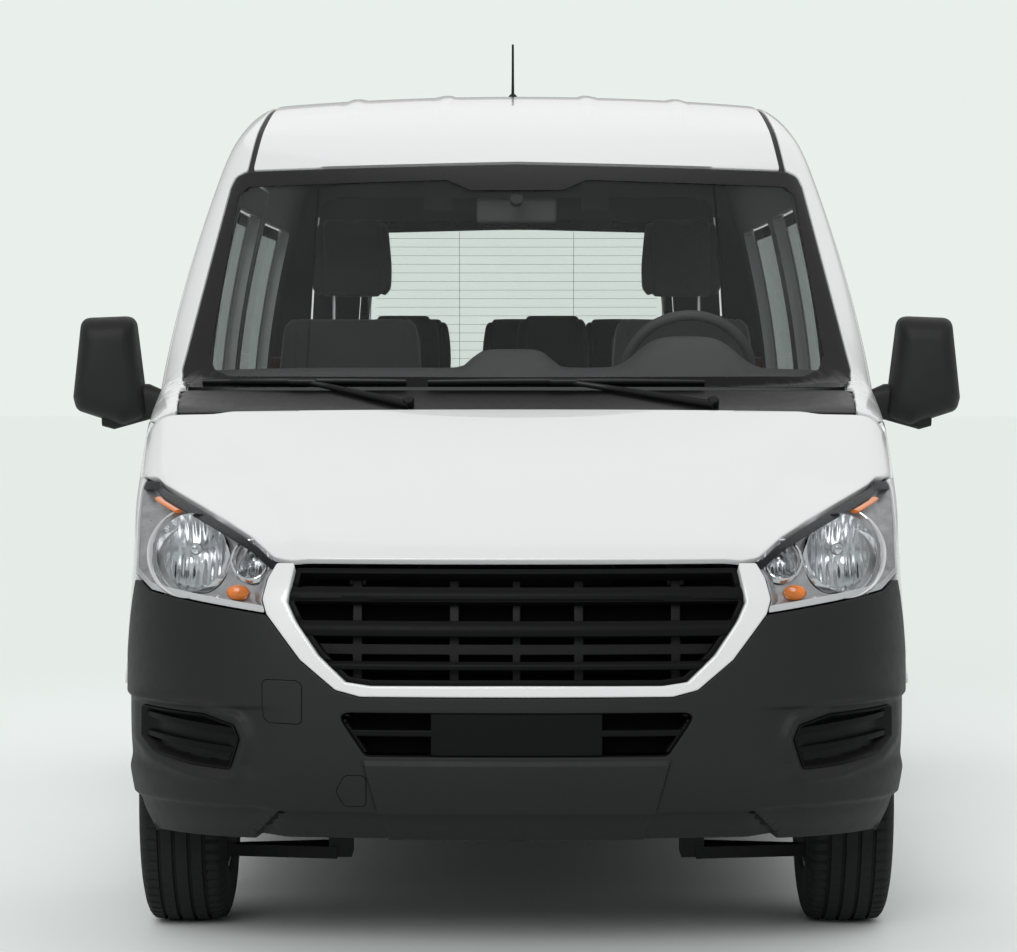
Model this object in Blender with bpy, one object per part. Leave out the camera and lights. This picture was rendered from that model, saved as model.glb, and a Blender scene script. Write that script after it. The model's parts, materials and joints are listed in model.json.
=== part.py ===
"""A forward-control style passenger minibus, modelled as separate panels, running gear and trim.

Units are metres. The front faces -Y, +X is the vehicle's left side and +Z is up. The origin is on
the ground under the middle of the bounding box. Along the vehicle the sizes are given as a distance
u behind the foremost point of the front bumper.
"""
import math

import bmesh
import bpy
import numpy as np
from mathutils import Matrix, Vector

LENGTH = 5.30
HALF_WIDTH = 1.01
ROOF_HEIGHT = 2.355
BOTTOM = 0.30
SILL = 0.335
FRONT_AXLE = 0.87
REAR_AXLE = 4.27
TYRE_RADIUS = 0.345
TYRE_WIDTH = 0.225
WHEEL_X = 0.875
ARCH_RADIUS = 0.445
STEER_X = 0.50
STEER_U = 1.70
STEER_Z = 1.470
STEER_LOW = (0.775, 0.215)
STEER_HIGH = (0.655, 0.950)
SHUT_GAP = 0.007
FIT_GAP = 0.0004
SKIN = 0.045
BONNET_SKIN = 0.020
FLOOR_TOP = 0.56
DOOR_HINGE_U = 1.205
DOOR_HINGE_X = 0.996
DOOR_RELIEF = 0.0205
HINGE_HEIGHTS = (1.03, 1.22)
BONNET_HINGE_U = 0.935
BONNET_HINGE_Z = 1.368
GATE_HINGE_U = 5.136
GATE_HINGE_Z = 2.155
GATE_HINGE_X = 0.30
SLIDER_FRONT = 2.47
SLIDER_REAR = 3.58
MIRROR_X = 1.150
GATE_RELIEF = 0.027
RIM_RADIUS = 0.205
HUB_RADIUS = 0.0315
AERIAL_U = 2.95

Y0 = -LENGTH / 2
CORNER_X = 0.58
TOP_X = (0.0, 0.22, 0.42, 0.58)
CORNER_U = 0.50
TAIL_CORNER_U = LENGTH - 0.45


def smooth_max(a, b, k):
    """The larger of two values, rounded off over a width of about k."""
    return np.maximum(a, b) + np.maximum(k - np.abs(a - b), 0.0) ** 2 / (4 * k)


def side_width(u, z):
    """Half width of the body: upright to the belt line, then leaning in towards the roof."""
    lean = 0.19 * np.maximum(z - 1.30, 0) ** 1.75
    tuck = 0.25 * np.maximum(0.55 - z, 0) ** 2
    nose = 0.010 * np.maximum((1.6 - u) / 1.1, 0) ** 2
    flare = 0.012 * np.clip((0.95 - u) / 0.4, 0, 1) * np.clip((1.0 - z) / 0.25, 0, 1)
    tail = 0.030 * np.maximum((u - LENGTH + 1.5) / 1.5, 0) ** 2
    return HALF_WIDTH - lean - tuck - nose + flare - tail


def roof_height(x, u):
    """Height of the roof skin, falling gently to the front and the rear."""
    front = 0.1087 * np.maximum(3.2 - u, 0) ** 3
    rear = 0.03 * np.maximum((u - LENGTH + 0.7) / 0.7, 0) ** 2
    return ROOF_HEIGHT - 0.035 * (x / 0.8) ** 2 - front - rear


def bonnet_height(x, u):
    """Height of the bonnet skin, sloping down to the nose and rounded across."""
    e = 1.0 - u
    return 1.383 - 0.30 * e - 0.115 * e * e - 0.075 * np.abs(x / 0.95) ** 2.5


def screen_u(x, z):
    """Distance behind the nose of the windscreen plane, curved back at its sides."""
    return 1.0 + (z - 1.383) / 0.832 + 0.16 * (x / 0.85) ** 2


def nose_u(x, z):
    """Distance behind the nose of the front face."""
    heights = [0.30, 0.36, 0.45, 0.58, 0.70, 0.85, 1.00, 1.10]
    depths = [0.12, 0.06, 0.015, 0.0, 0.005, 0.025, 0.07, 0.12]
    return np.interp(z, heights, depths) + 0.15 * (x / 1.0) ** 2


def tail_u(x, z, extra):
    """Distance behind the nose of the rear face, leaning forward above the belt line."""
    rake = 0.11 * np.clip((z - 1.15) / 1.15, 0, 1.2) ** 1.5
    return LENGTH - 0.055 + extra - rake - 0.045 * (x / 0.9) ** 2


def level(x, u, z, extra):
    """Signed closeness to the body's outer skin: zero on it, negative inside."""
    x = np.abs(x)
    side = x - side_width(u, z)
    screen = (screen_u(x, z) - u) * 0.64
    cabin = smooth_max(z - roof_height(x, u), screen, 0.04)
    top = np.minimum(cabin, z - bonnet_height(x, u))
    around = smooth_max(side, nose_u(x, z) - u, 0.42)
    f = smooth_max(around, top, 0.09)
    return smooth_max(f, u - tail_u(x, z, extra), 0.14)


def cast(start, direction, depth, extra):
    """Walk from points inside along rays to the skin that lies the given depth inside."""
    low = np.zeros(len(start))
    high = np.full(len(start), 1.4)
    for _ in range(40):
        mid = (low + high) / 2
        p = start + direction * mid[:, None]
        inside = level(p[:, 0], p[:, 1], p[:, 2], extra) < -depth
        low = np.where(inside, mid, low)
        high = np.where(inside, high, mid)
    return start + direction * low[:, None]


def pivot_height(u):
    """Height of the line that the upper rays start from."""
    return np.interp(u, [0.5, 1.0, 2.1], [0.85, 1.05, 2.0])


def ring_stations():
    """Points and outward directions of the rays around the body, nose to tail, left side."""
    out = []
    for x in TOP_X[:-1]:
        out.append((x, CORNER_U, 0.0, -1.0))
    for k in range(8):
        a = k / 7 * math.pi / 2
        out.append((CORNER_X, CORNER_U, math.sin(a), -math.cos(a)))
    for u in (0.68, 0.86, 1.02, 1.22, 1.45, 1.70, 1.95, 2.30, 2.80, 3.40, 4.00, 4.50):
        out.append((CORNER_X, u * (TAIL_CORNER_U / 4.85), 1.0, 0.0))
    for k in range(5):
        a = k / 4 * math.pi / 2
        out.append((CORNER_X, TAIL_CORNER_U, math.cos(a), math.sin(a)))
    for x in TOP_X[-2::-1]:
        out.append((x, TAIL_CORNER_U, 0.0, 1.0))
    return np.array(out)


def skin_points(depth, extra):
    """Points of the left half of the skin: rows round the body, then a grid over the top."""
    st = ring_stations()
    zp = pivot_height(st[:, 1])
    flat = 0 * zp
    rows = []
    for t in (0.0, 0.08, 0.20, 0.36, 0.56, 0.78):
        start = np.stack([st[:, 0], st[:, 1], BOTTOM + (zp - BOTTOM) * t], 1)
        rows.append(cast(start, np.stack([st[:, 2], st[:, 3], flat], 1), depth, extra))
    for k in range(7):
        a = k / 6 * math.pi / 2
        start = np.stack([st[:, 0], st[:, 1], zp], 1)
        ray = np.stack([st[:, 2] * math.cos(a), st[:, 3] * math.cos(a), flat + math.sin(a)], 1)
        rows.append(cast(start, ray, depth, extra))
    sides = [s[1] for s in st if s[2] == 1.0]
    start = np.array([(x, u, pivot_height(u)) for u in sides for x in TOP_X], float)
    top = cast(start, np.tile([0.0, 0.0, 1.0], (len(start), 1)), depth, extra)
    return rows, top, len(sides)


def skin_faces(rows, top_rows, base):
    """Faces over the points of skin_points, numbered from base."""
    n = len(rows[0])
    faces = []
    for r in range(len(rows) - 1):
        for i in range(n - 1):
            k = base + r * n + i
            faces.append((k, k + 1, k + n + 1, k + n))
    w = len(TOP_X)
    start = base + len(rows) * n
    for j in range(top_rows - 1):
        for i in range(w - 1):
            k = start + j * w + i
            faces.append((k, k + w, k + w + 1, k + 1))
    return faces


def skin_shell(depth_out, depth_in, extra=0.0):
    """The whole body as one closed shell between two depths, open at the bottom."""
    verts = []
    faces = []
    rims = []
    for depth in (depth_out, depth_in):
        rows, top, count = skin_points(depth, extra)
        base = len(verts)
        for row in rows:
            verts.extend(row)
        verts.extend(top)
        faces.extend(skin_faces(rows, count, base))
        rims.append(base)
    n = len(ring_stations())
    for i in range(n - 1):
        faces.append((rims[0] + i, rims[0] + i + 1, rims[1] + i + 1, rims[1] + i))
    return mirrored_solid(verts, faces)


def skin_core(depth, extra=0.0):
    """The whole inside of the body at a depth, as one closed solid."""
    rows, top, count = skin_points(depth, extra)
    verts = []
    for row in rows:
        verts.extend(row)
    verts.extend(top)
    faces = skin_faces(rows, count, 0)
    n = len(rows[0])
    first = len(verts)
    for i in range(n):
        verts.append((0.0, rows[0][i][1], BOTTOM))
    for i in range(n - 1):
        faces.append((i, i + 1, first + i + 1, first + i))
    return mirrored_solid(verts, faces)


def mirrored_solid(verts, faces):
    """Both halves of a symmetric solid, welded down the middle and turned to face out."""
    half = [(v[0], v[1] + Y0, v[2]) for v in verts]
    other = [(-v[0], v[1], v[2]) for v in half]
    n = len(half)
    obj = mesh_object("solid", half + other, faces + [tuple(n + k for k in reversed(f)) for f in faces])
    bm = bmesh.new()
    bm.from_mesh(obj.data)
    bmesh.ops.remove_doubles(bm, verts=bm.verts, dist=0.00005)
    bmesh.ops.dissolve_degenerate(bm, edges=bm.edges, dist=0.00005)
    bmesh.ops.recalc_face_normals(bm, faces=bm.faces)
    if bm.calc_volume(signed=True) < 0:
        bmesh.ops.reverse_faces(bm, faces=bm.faces)
    bmesh.ops.triangulate(bm, faces=bm.faces)
    bm.to_mesh(obj.data)
    bm.free()
    return obj


def mesh_object(name, verts, faces):
    mesh = bpy.data.meshes.new(name)
    mesh.from_pydata([tuple(v) for v in verts], [], faces)
    mesh.update()
    obj = bpy.data.objects.new(name, mesh)
    bpy.context.scene.collection.objects.link(obj)
    return obj


def copy_of(obj):
    new = bpy.data.objects.new(obj.name, obj.data.copy())
    bpy.context.scene.collection.objects.link(new)
    return new


def boolean(obj, other, operation, keep=False):
    """Cut, join or keep the common part, with the exact solver, and drop the tool."""
    mod = obj.modifiers.new("cut", "BOOLEAN")
    mod.operation = operation
    mod.solver = "EXACT"
    mod.object = other
    bpy.context.view_layer.update()
    graph = bpy.context.evaluated_depsgraph_get()
    mesh = bpy.data.meshes.new_from_object(obj.evaluated_get(graph))
    obj.modifiers.clear()
    obj.data = mesh
    weld(mesh)
    if not keep:
        bpy.data.objects.remove(other)
    return obj


def weld(mesh):
    """Join points that a cut left almost on top of each other."""
    bm = bmesh.new()
    bm.from_mesh(mesh)
    bmesh.ops.remove_doubles(bm, verts=bm.verts, dist=0.00004)
    bmesh.ops.dissolve_degenerate(bm, edges=bm.edges, dist=0.00004)
    bmesh.ops.triangulate(bm, faces=bm.faces)
    bm.to_mesh(mesh)
    bm.free()


def cut(obj, *tools):
    for tool in tools:
        boolean(obj, tool, "DIFFERENCE")
    return obj


def keep_inside(obj, *tools):
    for tool in tools:
        boolean(obj, tool, "INTERSECT")
    return obj


def join(obj, *others):
    for other in others:
        boolean(obj, other, "UNION")
    return obj


def prism(points, axis, low, high):
    """A flat outline pushed along an axis: outlines are (u, z) along x, (x, z) along y, (x, u) up."""
    verts = []
    for a, b in points:
        if axis == "x":
            verts.append((low, a + Y0, b))
        elif axis == "y":
            verts.append((a, low + Y0, b))
        else:
            verts.append((a, b + Y0, low))
    step = {"x": (high - low, 0, 0), "y": (0, high - low, 0), "z": (0, 0, high - low)}[axis]
    obj = mesh_object("prism", verts, [tuple(range(len(verts)))])
    bm = bmesh.new()
    bm.from_mesh(obj.data)
    got = bmesh.ops.extrude_face_region(bm, geom=bm.faces[:])
    moved = [g for g in got["geom"] if isinstance(g, bmesh.types.BMVert)]
    bmesh.ops.translate(bm, verts=moved, vec=step)
    bmesh.ops.recalc_face_normals(bm, faces=bm.faces)
    bm.to_mesh(obj.data)
    bm.free()
    return obj


def box(x0, x1, u0, u1, z0, z1):
    return prism([(x0, u0), (x1, u0), (x1, u1), (x0, u1)], "z", z0, z1)


def soft_box(x0, x1, u0, u1, z0, z1, radius, steps=2):
    """A box with rounded edges."""
    obj = box(x0, x1, u0, u1, z0, z1)
    bm = bmesh.new()
    bm.from_mesh(obj.data)
    bmesh.ops.bevel(bm, geom=bm.edges[:], offset=radius, segments=steps, profile=0.5, affect="EDGES")
    bm.to_mesh(obj.data)
    bm.free()
    return obj


def grow(points, d):
    """An outline moved outwards by a distance, corners mitred."""
    pts = np.array(points, float)
    area = np.sum(pts[:, 0] * np.roll(pts[:, 1], -1) - np.roll(pts[:, 0], -1) * pts[:, 1])
    if area < 0:
        pts = pts[::-1]
    out = []
    n = len(pts)
    for i in range(n):
        a = pts[i] - pts[i - 1]
        b = pts[(i + 1) % n] - pts[i]
        a = a / np.linalg.norm(a)
        b = b / np.linalg.norm(b)
        na = np.array([a[1], -a[0]])
        nb = np.array([b[1], -b[0]])
        k = max(1 + float(na @ nb), 0.35)
        out.append(tuple(pts[i] + d * (na + nb) / k))
    return out


def rounded(points, radius, steps=3):
    """An outline with every corner rounded."""
    pts = [np.array(p, float) for p in points]
    out = []
    n = len(pts)
    for i in range(n):
        p = pts[i]
        a = pts[i - 1] - p
        b = pts[(i + 1) % n] - p
        la = np.linalg.norm(a)
        lb = np.linalg.norm(b)
        half = math.acos(max(-1.0, min(1.0, float(a @ b) / (la * lb)))) / 2
        if half > 1.5:
            out.append(tuple(p))
            continue
        cut_len = min(radius / math.tan(half), 0.45 * la, 0.45 * lb)
        p0 = p + a / la * cut_len
        p1 = p + b / lb * cut_len
        for k in range(steps + 1):
            t = k / steps
            out.append(tuple((1 - t) ** 2 * p0 + 2 * t * (1 - t) * p + t ** 2 * p1))
    return out


def both_sides(half):
    """A closed outline from its left half, listed from the middle round to the middle."""
    other = [(-x, z) for x, z in reversed(half) if abs(x) > 0.00001]
    return list(half) + other


def mirror_x(obj, name):
    new = copy_of(obj)
    new.name = name
    bm = bmesh.new()
    bm.from_mesh(new.data)
    bmesh.ops.scale(bm, vec=(-1, 1, 1), verts=bm.verts)
    bmesh.ops.reverse_faces(bm, faces=bm.faces)
    bm.to_mesh(new.data)
    bm.free()
    return new


def lathe(profile, axis_point, axis, steps):
    """A closed profile of (distance along, radius) turned about an axis."""
    direction = Vector(axis).normalized()
    side = direction.orthogonal().normalized()
    centre = Vector(axis_point)
    obj = mesh_object("lathe", [], [])
    bm = bmesh.new()
    vs = [bm.verts.new(centre + direction * a + side * r) for a, r in profile]
    edges = [bm.edges.new((vs[i], vs[(i + 1) % len(vs)])) for i in range(len(vs))]
    bmesh.ops.spin(bm, geom=vs + edges, cent=centre, axis=direction, dvec=(0, 0, 0),
                   angle=math.tau, steps=steps, use_merge=True)
    bmesh.ops.remove_doubles(bm, verts=bm.verts, dist=0.00005)
    bmesh.ops.dissolve_degenerate(bm, edges=bm.edges, dist=0.00005)
    bmesh.ops.delete(bm, geom=[e for e in bm.edges if not e.link_faces], context="EDGES")
    bmesh.ops.recalc_face_normals(bm, faces=bm.faces)
    if bm.calc_volume(signed=True) < 0:
        bmesh.ops.reverse_faces(bm, faces=bm.faces)
    bm.to_mesh(obj.data)
    bm.free()
    return obj


def rod(p0, p1, radius, steps=12):
    """A round bar between two points given as (x, u, z)."""
    a = Vector((p0[0], p0[1] + Y0, p0[2]))
    b = Vector((p1[0], p1[1] + Y0, p1[2]))
    length = (b - a).length
    return lathe([(0, 0), (length, 0), (length, radius), (0, radius)], a, b - a, steps)


BONNET_FRONT = both_sides([
    (0.0, 1.007), (0.560, 1.007), (0.600, 1.017), (0.683, 1.052), (0.768, 1.098),
    (0.860, 1.143), (0.950, 1.165), (1.100, 1.165), (1.100, 1.600), (0.0, 1.600)])
BONNET_SIDE = [(-0.10, 0.90), (0.20, 0.98), (0.52, 1.10), (0.64, 1.165), (0.80, 1.225),
               (0.955, 1.290), (0.955, 1.600), (-0.10, 1.600)]
SURROUND_OUT = both_sides([
    (0.0, 0.676), (0.385, 0.676), (0.447, 0.692), (0.535, 0.765), (0.620, 0.876),
    (0.631, 0.912), (0.618, 0.963), (0.597, 0.9995), (0.0, 0.9995)])
SURROUND_IN = both_sides([
    (0.0, 0.705), (0.361, 0.703), (0.422, 0.712), (0.490, 0.777), (0.548, 0.862),
    (0.568, 0.906), (0.560, 0.950), (0.538, 1.060), (0.0, 1.060)])
LAMP_FRONT = [(0.550, 0.996), (0.600, 1.009), (0.683, 1.044), (0.768, 1.090), (0.860, 1.135),
              (0.950, 1.157), (1.100, 1.157), (1.100, 0.960), (0.977, 0.952), (0.932, 0.921),
              (0.791, 0.900), (0.600, 0.873), (0.550, 0.870)]
LAMP_SIDE = [(-0.10, 0.800), (0.250, 0.800), (0.400, 0.900), (0.455, 0.950), (0.500, 1.045),
             (0.600, 1.120), (0.660, 1.156), (0.660, 1.300), (-0.10, 1.300)]
BUMPER_SIDE = [(-0.10, 0.280), (0.560, 0.280), (0.560, 0.640), (0.500, 0.800), (0.450, 0.940),
               (-0.10, 0.940)]
INTAKE = both_sides([(0.0, 0.637), (0.447, 0.637), (0.373, 0.528), (0.0, 0.528)])
FOG = [(0.960, 0.632), (0.785, 0.625), (0.705, 0.600), (0.690, 0.564), (0.715, 0.486),
       (0.816, 0.495), (0.923, 0.515), (0.962, 0.550)]
SCREEN = both_sides([
    (0.0, 1.430), (0.880, 1.430), (0.908, 1.450), (0.916, 1.480), (0.911, 1.520), (0.848, 2.020),
    (0.835, 2.052), (0.800, 2.069), (0.0, 2.086)])
COWL = both_sides([(0.0, 1.200), (0.880, 1.200), (0.880, 1.383), (0.900, 1.4295), (0.0, 1.4295)])
DOOR = [(1.360, 0.400), (2.375, 0.400), (2.375, 1.300), (2.367, 2.030), (2.310, 2.095),
        (2.170, 2.095), (2.080, 2.050), (1.430, 1.500), (1.230, 1.340), (1.175, 1.270),
        (1.175, 0.990), (1.240, 0.880), (1.325, 0.700), (1.360, 0.550)]
DOOR_WINDOW = [(1.520, 1.370), (2.305, 1.370), (2.300, 2.005), (2.125, 2.005), (2.090, 1.982),
               (1.520, 1.497)]
SLIDER = [(SLIDER_FRONT, 0.400), (SLIDER_REAR, 0.400), (SLIDER_REAR, 2.085),
          (SLIDER_FRONT, 2.085)]
MIDDLE_WINDOW = [(SLIDER_FRONT + 0.09, 1.370), (SLIDER_REAR - 0.09, 1.370),
                 (SLIDER_REAR - 0.09, 1.995), (SLIDER_FRONT + 0.09, 1.995)]
REAR_SIDE_WINDOW = [(SLIDER_REAR + 0.12, 1.370), (4.870, 1.370), (4.850, 1.995),
                    (SLIDER_REAR + 0.12, 1.995)]
GATE = both_sides([(0.0, 0.614), (0.800, 0.614), (0.800, 1.450), (0.760, 2.100), (0.700, 2.165),
                   (0.0, 2.165)])
REAR_WINDOW = both_sides([(0.0, 1.400), (0.630, 1.400), (0.580, 2.040), (0.0, 2.055)])
TAIL_LAMP = [(0.835, 0.920), (1.200, 0.920), (1.200, 1.520), (0.822, 1.520)]
REAR_BUMPER_SIDE = [(4.600, 0.280), (5.400, 0.280), (5.400, 0.607), (4.600, 0.607)]
ROOF_EDGE = 0.745


def arch(u, radius, x0, x1):
    return lathe([(0, 0), (x1 - x0, 0), (x1 - x0, radius), (0, radius)],
                 (x0, u + Y0, 0.345), (1, 0, 0), 40)


def bonnet_shape(extra):
    a = prism(grow(BONNET_FRONT, extra), "y", -0.2, 1.2)
    return keep_inside(a, prism(grow(BONNET_SIDE, extra), "x", -1.2, 1.2))


def lamp_shape(extra):
    a = prism(grow(LAMP_FRONT, extra), "y", -0.2, 0.9)
    return keep_inside(a, prism(grow(LAMP_SIDE, extra), "x", 0.3, 1.3))


def side_prism(points, extra, radius=0.0, sign=1):
    outline = rounded(points, radius) if radius else points
    lo, hi = (0.75, 1.3) if sign > 0 else (-1.3, -0.75)
    return prism(grow(outline, extra), "x", lo, hi)


def build_front(parts):
    """Bonnet, bumper, grille, lamps and the wings."""
    skin = skin_shell(0.0, 0.030)
    thin = skin_shell(0.0, BONNET_SKIN)
    deep = skin_shell(0.0015, 0.100)

    bonnet = keep_inside(thin, bonnet_shape(0.0))
    parts["bonnet"] = bonnet

    surround = keep_inside(skin_shell(-0.004, 0.030), prism(SURROUND_OUT, "y", -0.2, 0.4))
    cut(surround, prism(SURROUND_IN, "y", -0.3, 0.5))
    parts["grille_surround"] = surround

    inner = grow(SURROUND_IN, -FIT_GAP)
    grille = keep_inside(skin_shell(0.014, 0.052), prism(inner, "y", -0.2, 0.5))
    cut(grille, box(-0.7, 0.7, -0.1, 0.6, 0.9995, 1.2))
    for z0, z1 in ((0.950, 0.975), (0.868, 0.911), (0.786, 0.826), (0.719, 0.742)):
        for x0, x1 in ((-0.60, -0.282), (-0.258, -0.012), (0.012, 0.258), (0.282, 0.60)):
            slot = keep_inside(prism(grow(inner, -0.016), "y", -0.3, 0.6), box(x0, x1, -0.2, 0.5, z0, z1))
            cut(grille, slot)
    parts["grille"] = grille

    lamp = keep_inside(deep, lamp_shape(0.0))
    cut(lamp, prism(grow(SURROUND_OUT, FIT_GAP), "y", -0.3, 0.9))
    bowl = lathe([(0, 0), (0.20, 0), (0.20, 0.062), (0.02, 0.050), (0, 0.030)],
                 (0.800, 0.330 + Y0, 1.000), (0.10, -1, 0), 20)
    cut(lamp, bowl)
    small = lathe([(0, 0), (0.20, 0), (0.20, 0.036), (0, 0.024)],
                  (0.655, 0.230 + Y0, 0.965), (0.10, -1, 0), 16)
    cut(lamp, small)
    parts["headlamp_left"] = lamp
    parts["headlamp_right"] = mirror_x(lamp, "headlamp_right")

    bumper = keep_inside(copy_of(skin), prism(BUMPER_SIDE, "x", -1.2, 1.2))
    cut(bumper, bonnet_shape(SHUT_GAP), lamp_shape(FIT_GAP))
    right_lamp = lamp_shape(FIT_GAP)
    cut(bumper, mirror_x(right_lamp, "tool"))
    bpy.data.objects.remove(right_lamp)
    cut(bumper, prism(grow(SURROUND_OUT, FIT_GAP), "y", -0.3, 0.9))
    cut(bumper, prism(rounded(INTAKE, 0.02), "y", -0.3, 0.5))
    cut(bumper, box(-0.70, 0.70, -0.2, 0.6, 0.98, 1.2))
    for sign in (1, -1):
        cut(bumper, arch(FRONT_AXLE, ARCH_RADIUS, -1.3 if sign < 0 else 0.3, -0.3 if sign < 0 else 1.3))
        pocket = prism([(x * sign, z) for x, z in rounded(FOG, 0.012)], "y", -0.2, 0.5)
        cut(bumper, keep_inside(skin_shell(-0.02, 0.016), pocket))
    parts["front_bumper"] = bumper

    hole = grow(rounded(INTAKE, 0.02), -FIT_GAP)
    lower = keep_inside(skin_shell(0.006, 0.036), prism(hole, "y", -0.2, 0.4))
    for x0, x1 in ((-0.50, -0.212), (0.212, 0.50)):
        for z0, z1 in ((0.50, 0.578), (0.594, 0.66)):
            cut(lower, keep_inside(prism(grow(hole, -0.011), "y", -0.3, 0.5), box(x0, x1, -0.2, 0.4, z0, z1)))
    parts["lower_grille"] = lower

    wing = keep_inside(copy_of(skin), box(0.60, 1.2, 0.30, 1.40, 0.4004, 1.338))
    cut(wing, prism(grow(COWL, FIT_GAP), "y", 0.5, 1.5))
    cut(wing, bonnet_shape(SHUT_GAP), lamp_shape(FIT_GAP), side_prism(DOOR, SHUT_GAP + 0.001))
    cut(wing, prism(grow(BUMPER_SIDE, FIT_GAP), "x", 0.0, 1.3))
    cut(wing, prism(grow(SURROUND_OUT, FIT_GAP), "y", -0.3, 0.7))
    cut(wing, arch(FRONT_AXLE, ARCH_RADIUS, 0.3, 1.3), hinge_rod(DOOR_RELIEF, 0.80, 1.45))
    parts["wing_left"] = wing
    parts["wing_right"] = mirror_x(wing, "wing_right")
    bpy.data.objects.remove(skin)


def build_top(parts):
    """Windscreen, cowl with the wipers, roof and aerial."""
    glass = keep_inside(skin_shell(0.002, 0.008), prism(SCREEN, "y", 0.8, 2.1))
    parts["windscreen"] = glass

    cowl = keep_inside(skin_shell(0.004, 0.026), prism(COWL, "y", 0.9625, 1.30))
    parts["cowl"] = cowl

    roof = keep_inside(skin_shell(0.0, 0.035), box(-ROOF_EDGE, ROOF_EDGE, 1.0, 5.4, 2.05, 2.5))
    cut(roof, prism(grow(SCREEN, FIT_GAP), "y", 0.7, 2.3), box(-1, 1, 3.0, 5.5, 2.0, 2.10))
    cut(roof, prism(grow(GATE, SHUT_GAP), "y", 4.7, 5.6), gate_rod(-1.1, 1.1, GATE_RELIEF, 24))
    for x in (-GATE_HINGE_X, GATE_HINGE_X):
        arm = box(x - 0.028, x + 0.028, GATE_HINGE_U - 0.006, GATE_HINGE_U + 0.006,
                  GATE_HINGE_Z, GATE_HINGE_Z + 0.060)
        arm = join(arm, gate_rod(x - 0.030, x + 0.030, 0.008, 14))
        join(roof, keep_inside(arm, skin_core(0.004)))
    parts["roof"] = roof

    hit = roof.ray_cast((0.0, AERIAL_U + Y0, 3.0), (0, 0, -1))
    base = hit[1][2]
    aerial = lathe([(0, 0), (0.180, 0), (0.180, 0.0022), (0.020, 0.0035), (0.014, 0.013), (0, 0.016)],
                   (0.0, AERIAL_U + Y0, base + 0.0004), (0, 0, 1), 12)
    parts["aerial"] = aerial


def gate_rod(x0, x1, radius, steps):
    """A round bar on the tailgate's hinge axis."""
    return rod((x0, GATE_HINGE_U, GATE_HINGE_Z), (x1, GATE_HINGE_U, GATE_HINGE_Z), radius, steps)


def hinge_rod(radius, z0, z1, side=1):
    """A round bar on one front door's hinge axis."""
    x = side * DOOR_HINGE_X
    return rod((x, DOOR_HINGE_U, z0), (x, DOOR_HINGE_U, z1), radius, 20)


def build_sides(parts):
    """The two body sides with their pillars, the doors and all the side glass."""
    outline = [(1.270, 0.290), (5.400, 0.290), (5.400, 2.450), (0.950, 2.450), (0.950, 1.3384),
               (1.500, 1.3384), (1.500, 0.3996), (1.270, 0.3996)]
    side = keep_inside(skin_shell(0.0, SKIN), prism(outline, "x", ROOF_EDGE + FIT_GAP, 1.3))
    cut(side, side_prism(DOOR, SHUT_GAP + 0.001), prism(grow(SCREEN, FIT_GAP), "y", 0.7, 2.3))
    cut(side, prism(grow(COWL, FIT_GAP), "y", 0.5, 1.6), bonnet_shape(SHUT_GAP))
    cut(side, arch(REAR_AXLE, ARCH_RADIUS, 0.3, 1.3), arch(FRONT_AXLE, ARCH_RADIUS, 0.3, 1.3))
    cut(side, prism(grow(GATE, SHUT_GAP), "y", 4.9, 5.6), gate_rod(0.6, 1.1, GATE_RELIEF, 24))
    cut(side, hinge_rod(DOOR_RELIEF, 1.0, 1.45))
    cut(side, prism(grow(REAR_BUMPER_SIDE, FIT_GAP), "x", 0.0, 1.3))
    lamp_zone = keep_inside(prism(grow(TAIL_LAMP, FIT_GAP), "y", 5.02 - FIT_GAP, 5.6))
    cut(side, lamp_zone)
    cut(side, side_prism(rounded(REAR_SIDE_WINDOW, 0.06), 0.0))
    right = mirror_x(side, "body_side_right")
    cut(side, side_prism(rounded(MIDDLE_WINDOW, 0.06), 0.0))
    parts["body_side_left"] = side
    cut(right, side_prism(rounded(SLIDER, 0.05), SHUT_GAP, sign=-1))
    parts["body_side_right"] = right

    door = keep_inside(skin_shell(0.0, SKIN), side_prism(DOOR, 0.0))
    cut(door, side_prism(rounded(DOOR_WINDOW, 0.03), 0.0))
    for z in HINGE_HEIGHTS:
        cut(door, box(0.90, DOOR_HINGE_X + 0.0068, 1.15, DOOR_HINGE_U + 0.050, z - 0.0204, z + 0.0204))
    parts["front_door_left"] = door
    parts["front_door_right"] = mirror_x(door, "front_door_right")

    slider = keep_inside(skin_shell(0.0, SKIN), side_prism(rounded(SLIDER, 0.05), 0.0, sign=-1))
    cut(slider, side_prism(rounded(MIDDLE_WINDOW, 0.06), 0.0, sign=-1))
    parts["sliding_door"] = slider

    pane = skin_shell(0.004, 0.009)
    glass = keep_inside(copy_of(pane), side_prism(rounded(DOOR_WINDOW, 0.03), -FIT_GAP))
    parts["front_door_glass_left"] = glass
    parts["front_door_glass_right"] = mirror_x(glass, "front_door_glass_right")
    glass = keep_inside(copy_of(pane), side_prism(rounded(MIDDLE_WINDOW, 0.06), -FIT_GAP))
    parts["middle_glass_left"] = glass
    parts["sliding_door_glass"] = mirror_x(glass, "sliding_door_glass")
    glass = keep_inside(pane, side_prism(rounded(REAR_SIDE_WINDOW, 0.06), -FIT_GAP))
    parts["rear_side_glass_left"] = glass
    parts["rear_side_glass_right"] = mirror_x(glass, "rear_side_glass_right")


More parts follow.
